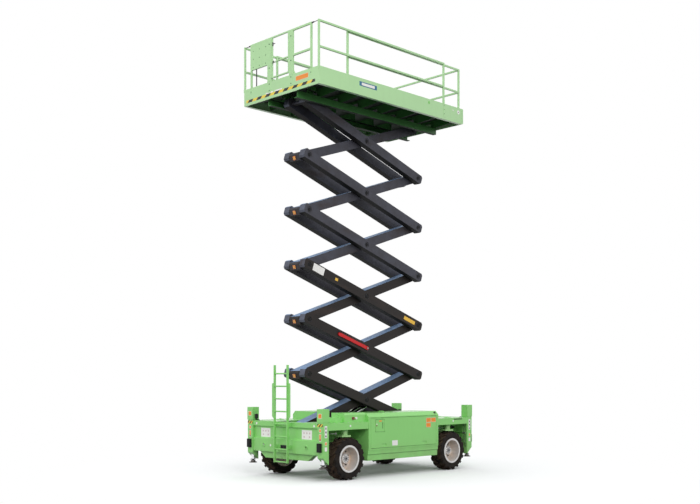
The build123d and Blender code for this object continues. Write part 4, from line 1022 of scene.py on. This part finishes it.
def control_sheet():
    """A bolted sheet in front of the control box, from the frame's far post to the gate's, and the gate's ring
    and knob beside it."""
    face, top = REAR + BOLT_HEAD, box_of("rear_rail")[1].z
    near, far = box_of("entry_gate")[1].y + 0.136, FRAME_POST - RAIL_TUBE + 0.002
    bottom = top - 0.572
    sheet = Shape().block((face + 0.001, near - 0.004, bottom), (face + 0.004, far, top - RAIL_TUBE + 0.004))
    made(sheet, "control_sheet", "platform_green", "platform", 0.0008)
    for number, y in enumerate((near + 0.06, (near + far) / 2, far - 0.06)):
        bolts(f"control_sheet_bolts_{number}", "platform", (face + 0.001, y, bottom + 0.05), TO_REAR, 3,
            (0, 0, 0.18), 0.014, "worn_green")
    ring = Shape().ring((face - 0.001, near - 0.205, top - 0.56), TO_REAR, 0.014, 0.03, 0.0035)
    made(ring, "gate_ring", "black_plastic", "entry_gate", 0.0008)
    knob = Shape().turned((face + 0.002, near - 0.262, top - 0.56), TO_REAR,
        [(-0.004, 0.014), (0.0, 0.019), (0.003, 0.019), (0.0055, 0.013), (0.006, 0.0)], 20)
    made(knob, "gate_knob", "label_white", "entry_gate")


def platform_foils():
    """Hazard foil and blank labels on the rear panel, and a blank plate, studs and a plug on the right side's."""
    rear, right = REAR + BOLT_HEAD + POST_PLATE, -(SIDE - 0.01)
    front, top, bottom = PLATFORM_HIGH.x, PLATFORM_HIGH.z, PLATFORM_LOW.z
    plate_x, plate_z = REAR + 1.46, top - 0.122
    labels("rear_", "platform", TO_REAR, (
        ("hazard_foil", (rear, 0.02, bottom + 0.09), 2.28, 0.06, "hazard_stripes", None, 0.002),
        ("orange_label", (rear, -0.71, top - 0.125), 0.4, 0.105, "label_orange", "label_pink"),
        ("white_strip_0", (rear, 0.36, bottom + 0.136), 0.24, 0.028, "label_white", None, 0.003),
        ("white_strip_1", (rear, 0.06, bottom + 0.136), 0.24, 0.028, "label_white", None, 0.003)))
    labels("side_plate", "platform", TO_RIGHT, (
        ("", (plate_x, right, plate_z), 0.54, 0.096, "label_blue"),
        ("_middle", (plate_x, right - FOIL, plate_z), 0.4, 0.056, "label_white")))
    for name, x, y, z, finish, sides, *profile in (
            ("side_plug", REAR + 3.47, right, 0.084, "chassis_green", 28, (-0.001, 0.034), (0.003, 0.034),
            (0.006, 0.029), (0.006, 0.022), (0.001, 0.02), (0.001, 0.0)),
            ("nose_stud", front - 0.335, right, 0.095, "label_white", 24, (-0.001, 0.017), (0.003, 0.017),
            (0.0045, 0.013)),
            ("nose_disc", front - 0.138, right, 0.107, "label_white", 36, (-0.001, 0.046), (0.0012, 0.046)),
            ("nose_disc_middle", front - 0.138, right - 0.0011, 0.107, "box_grey", 24, (0, 0.014), (0.001, 0.014))):
        slot = "platform_green" if name == "side_plug" else None
        made(Shape().turned((x, y, top - z), TO_RIGHT, profile, sides), name, finish, "platform", slot=slot)


def foot_strips():
    """A bolted strip at the front foot of each side's rail."""
    top = PLATFORM_HIGH.z
    for side, turn in SIDES.items():
        foot = Shape().block((RAIL_FRONT - RAIL_TUBE, turn * (SIDE - 0.0105), PLATFORM_LOW.z + 0.05),
            (RAIL_FRONT, turn * (SIDE - 0.005), top + 0.09))
        made(foot, f"{side}_rail_foot_strip", "platform_green", "platform", 0.0015)
        bolts(f"{side}_foot_strip_bolts", "platform",
            (RAIL_FRONT - RAIL_TUBE / 2, turn * (SIDE - 0.0052), top - 0.24), (0, turn, 0), 3, (0, 0, 0.1),
            0.014, "worn_green")


def controls():
    """The control box: its back plate is part of the frame, and its knobs have their own colours."""
    box = softened("control_box", "box_grey", 0.003)
    low, high = box_of("control_box")
    back, top = low.x + 0.0042, high.z - 0.098
    stop_y, stick_y = high.y - 0.195 + 0.08, high.y - 0.195 - 0.075
    refinished(box, "platform_green", lambda at, out: at.x < back and at.z > low.z + 0.3)
    for finish, test in (
            ("black_plastic", lambda at: at.z < high.z - 0.49 and at.z < low.z + 0.61),
            ("black_plastic", lambda at: at.z > top and abs(at.y - stick_y) < 0.034),
            ("button_red", lambda at: at.z > top + 0.004 and abs(at.y - stop_y) < 0.03)):
        refinished(box, finish, lambda at, out: at.x > back and test(at))


chassis_steelwork()
tank_and_hatch()
door_labels()
end_panels()
for corner, outward, turn in CORNERS:
    column_fittings(f"{corner}_column", outward, turn)
for corner, _, turn in CORNERS:
    beam_fittings(corner, turn)
beam_plate()
for corner, outward, turn in CORNERS:
    steering(corner, outward, turn)
for corner, _, turn in CORNERS:
    wheel(corner, turn)
for corner, _, _ in CORNERS:
    leg(f"{corner}_leg")
arms()
arm_labels()
lift_cylinders()
platform_steelwork()
rear_frame_fittings()
control_sheet()
platform_foils()
foot_strips()
controls()
painted("engine_block", "engine_grey")


# ---- Stage

def world_light():
    """White all round for what is seen or mirrored, and a level light that is weaker from below."""
    world = bpy.data.worlds.new("studio")
    bpy.context.scene.world = world
    world.use_nodes = True
    sky = Tree(world.node_tree)
    direction = sky.node("TexCoord")["Generated"]
    height = sky.node("SeparateXYZ", {0: direction})["Z"]
    stops = [(0.0, (0.1, 0.1, 0.1)), (1.0, (0.97, 0.985, 1.0)), (0.46, (0.28, 0.28, 0.28)), (0.56, (0.98, 0.99, 1.0))]
    given = sky.node("ValToRGB", {0: height * 0.5 + 0.5}, stops)
    shade = sky.node("Background", {"Color": given, "Strength": 1.08})
    white = sky.node("Background", {"Color": (1.0, 1.0, 1.0), "Strength": 1.0})
    sky.node("OutputWorld", {"Surface": sky.node("MixShader", {0: seen_rays(sky), 1: shade, 2: white})})


def seen_rays(tree):
    """1 for rays that the camera, a mirror or glass sees by, and 0 for those that light a matt surface."""
    path = tree.node("LightPath")
    return path["Is Camera Ray"].larger(path["Is Glossy Ray"]).larger(path["Is Transmission Ray"])


def studio_floor():
    """A pale floor that keeps the machine's shadow and runs out into white."""
    half, level = 80, -0.001
    data = bpy.data.meshes.new("studio_floor")
    corners = [(-half, -half, level), (half, -half, level), (half, half, level), (-half, half, level)]
    data.from_pydata(corners, [], [(0, 1, 2, 3)])
    pale = Finish("studio_floor")
    away = (pale.x * pale.x + pale.y * pale.y) ** 0.5
    seen = seen_rays(pale)
    colour = pale.mix(seen, (0.14, 0.14, 0.14), (0.9, 0.9, 0.9))
    matt = pale.node("BsdfDiffuse", {"Color": colour})
    white = pale.node("Emission", {"Color": (1.0, 1.0, 1.0), "Strength": 1.0})
    mixed = pale.node("MixShader", {0: away.ramp(3.0, 7.5) * seen, 1: matt, 2: white})
    pale.node("OutputMaterial", {"Surface": mixed})
    data.materials.append(pale.material)
    placed("studio_floor", data)


def lamp(name, place, size, watts):
    """A soft square lamp that shines on the middle of the machine."""
    light = bpy.data.lights.new(name, "AREA")
    light.size, light.energy = size, watts
    placed(name, light, place, (Vector((0, 0, 4)) - Vector(place)).to_track_quat("-Z", "Y").to_euler())


def camera():
    """A level camera at the rear right corner, shifted up so that uprights stay upright."""
    view = bpy.data.cameras.new("camera")
    view.sensor_width, view.lens, view.shift_y = 36, 49.9, 0.18
    view.clip_end = 200
    level_turn = (pi / 2, 0, atan2(0.713, 0.701) - pi / 2)
    bpy.context.scene.camera = placed("camera", view, (-16.13, -15.97, 2.18), level_turn)


world_light()
studio_floor()
lamp("key", (-14, -20, 14), 9, 2000)
lamp("fill", (-22, 6, 10), 8, 700)
camera()
bpy.context.scene.view_settings.view_transform = "Standard"
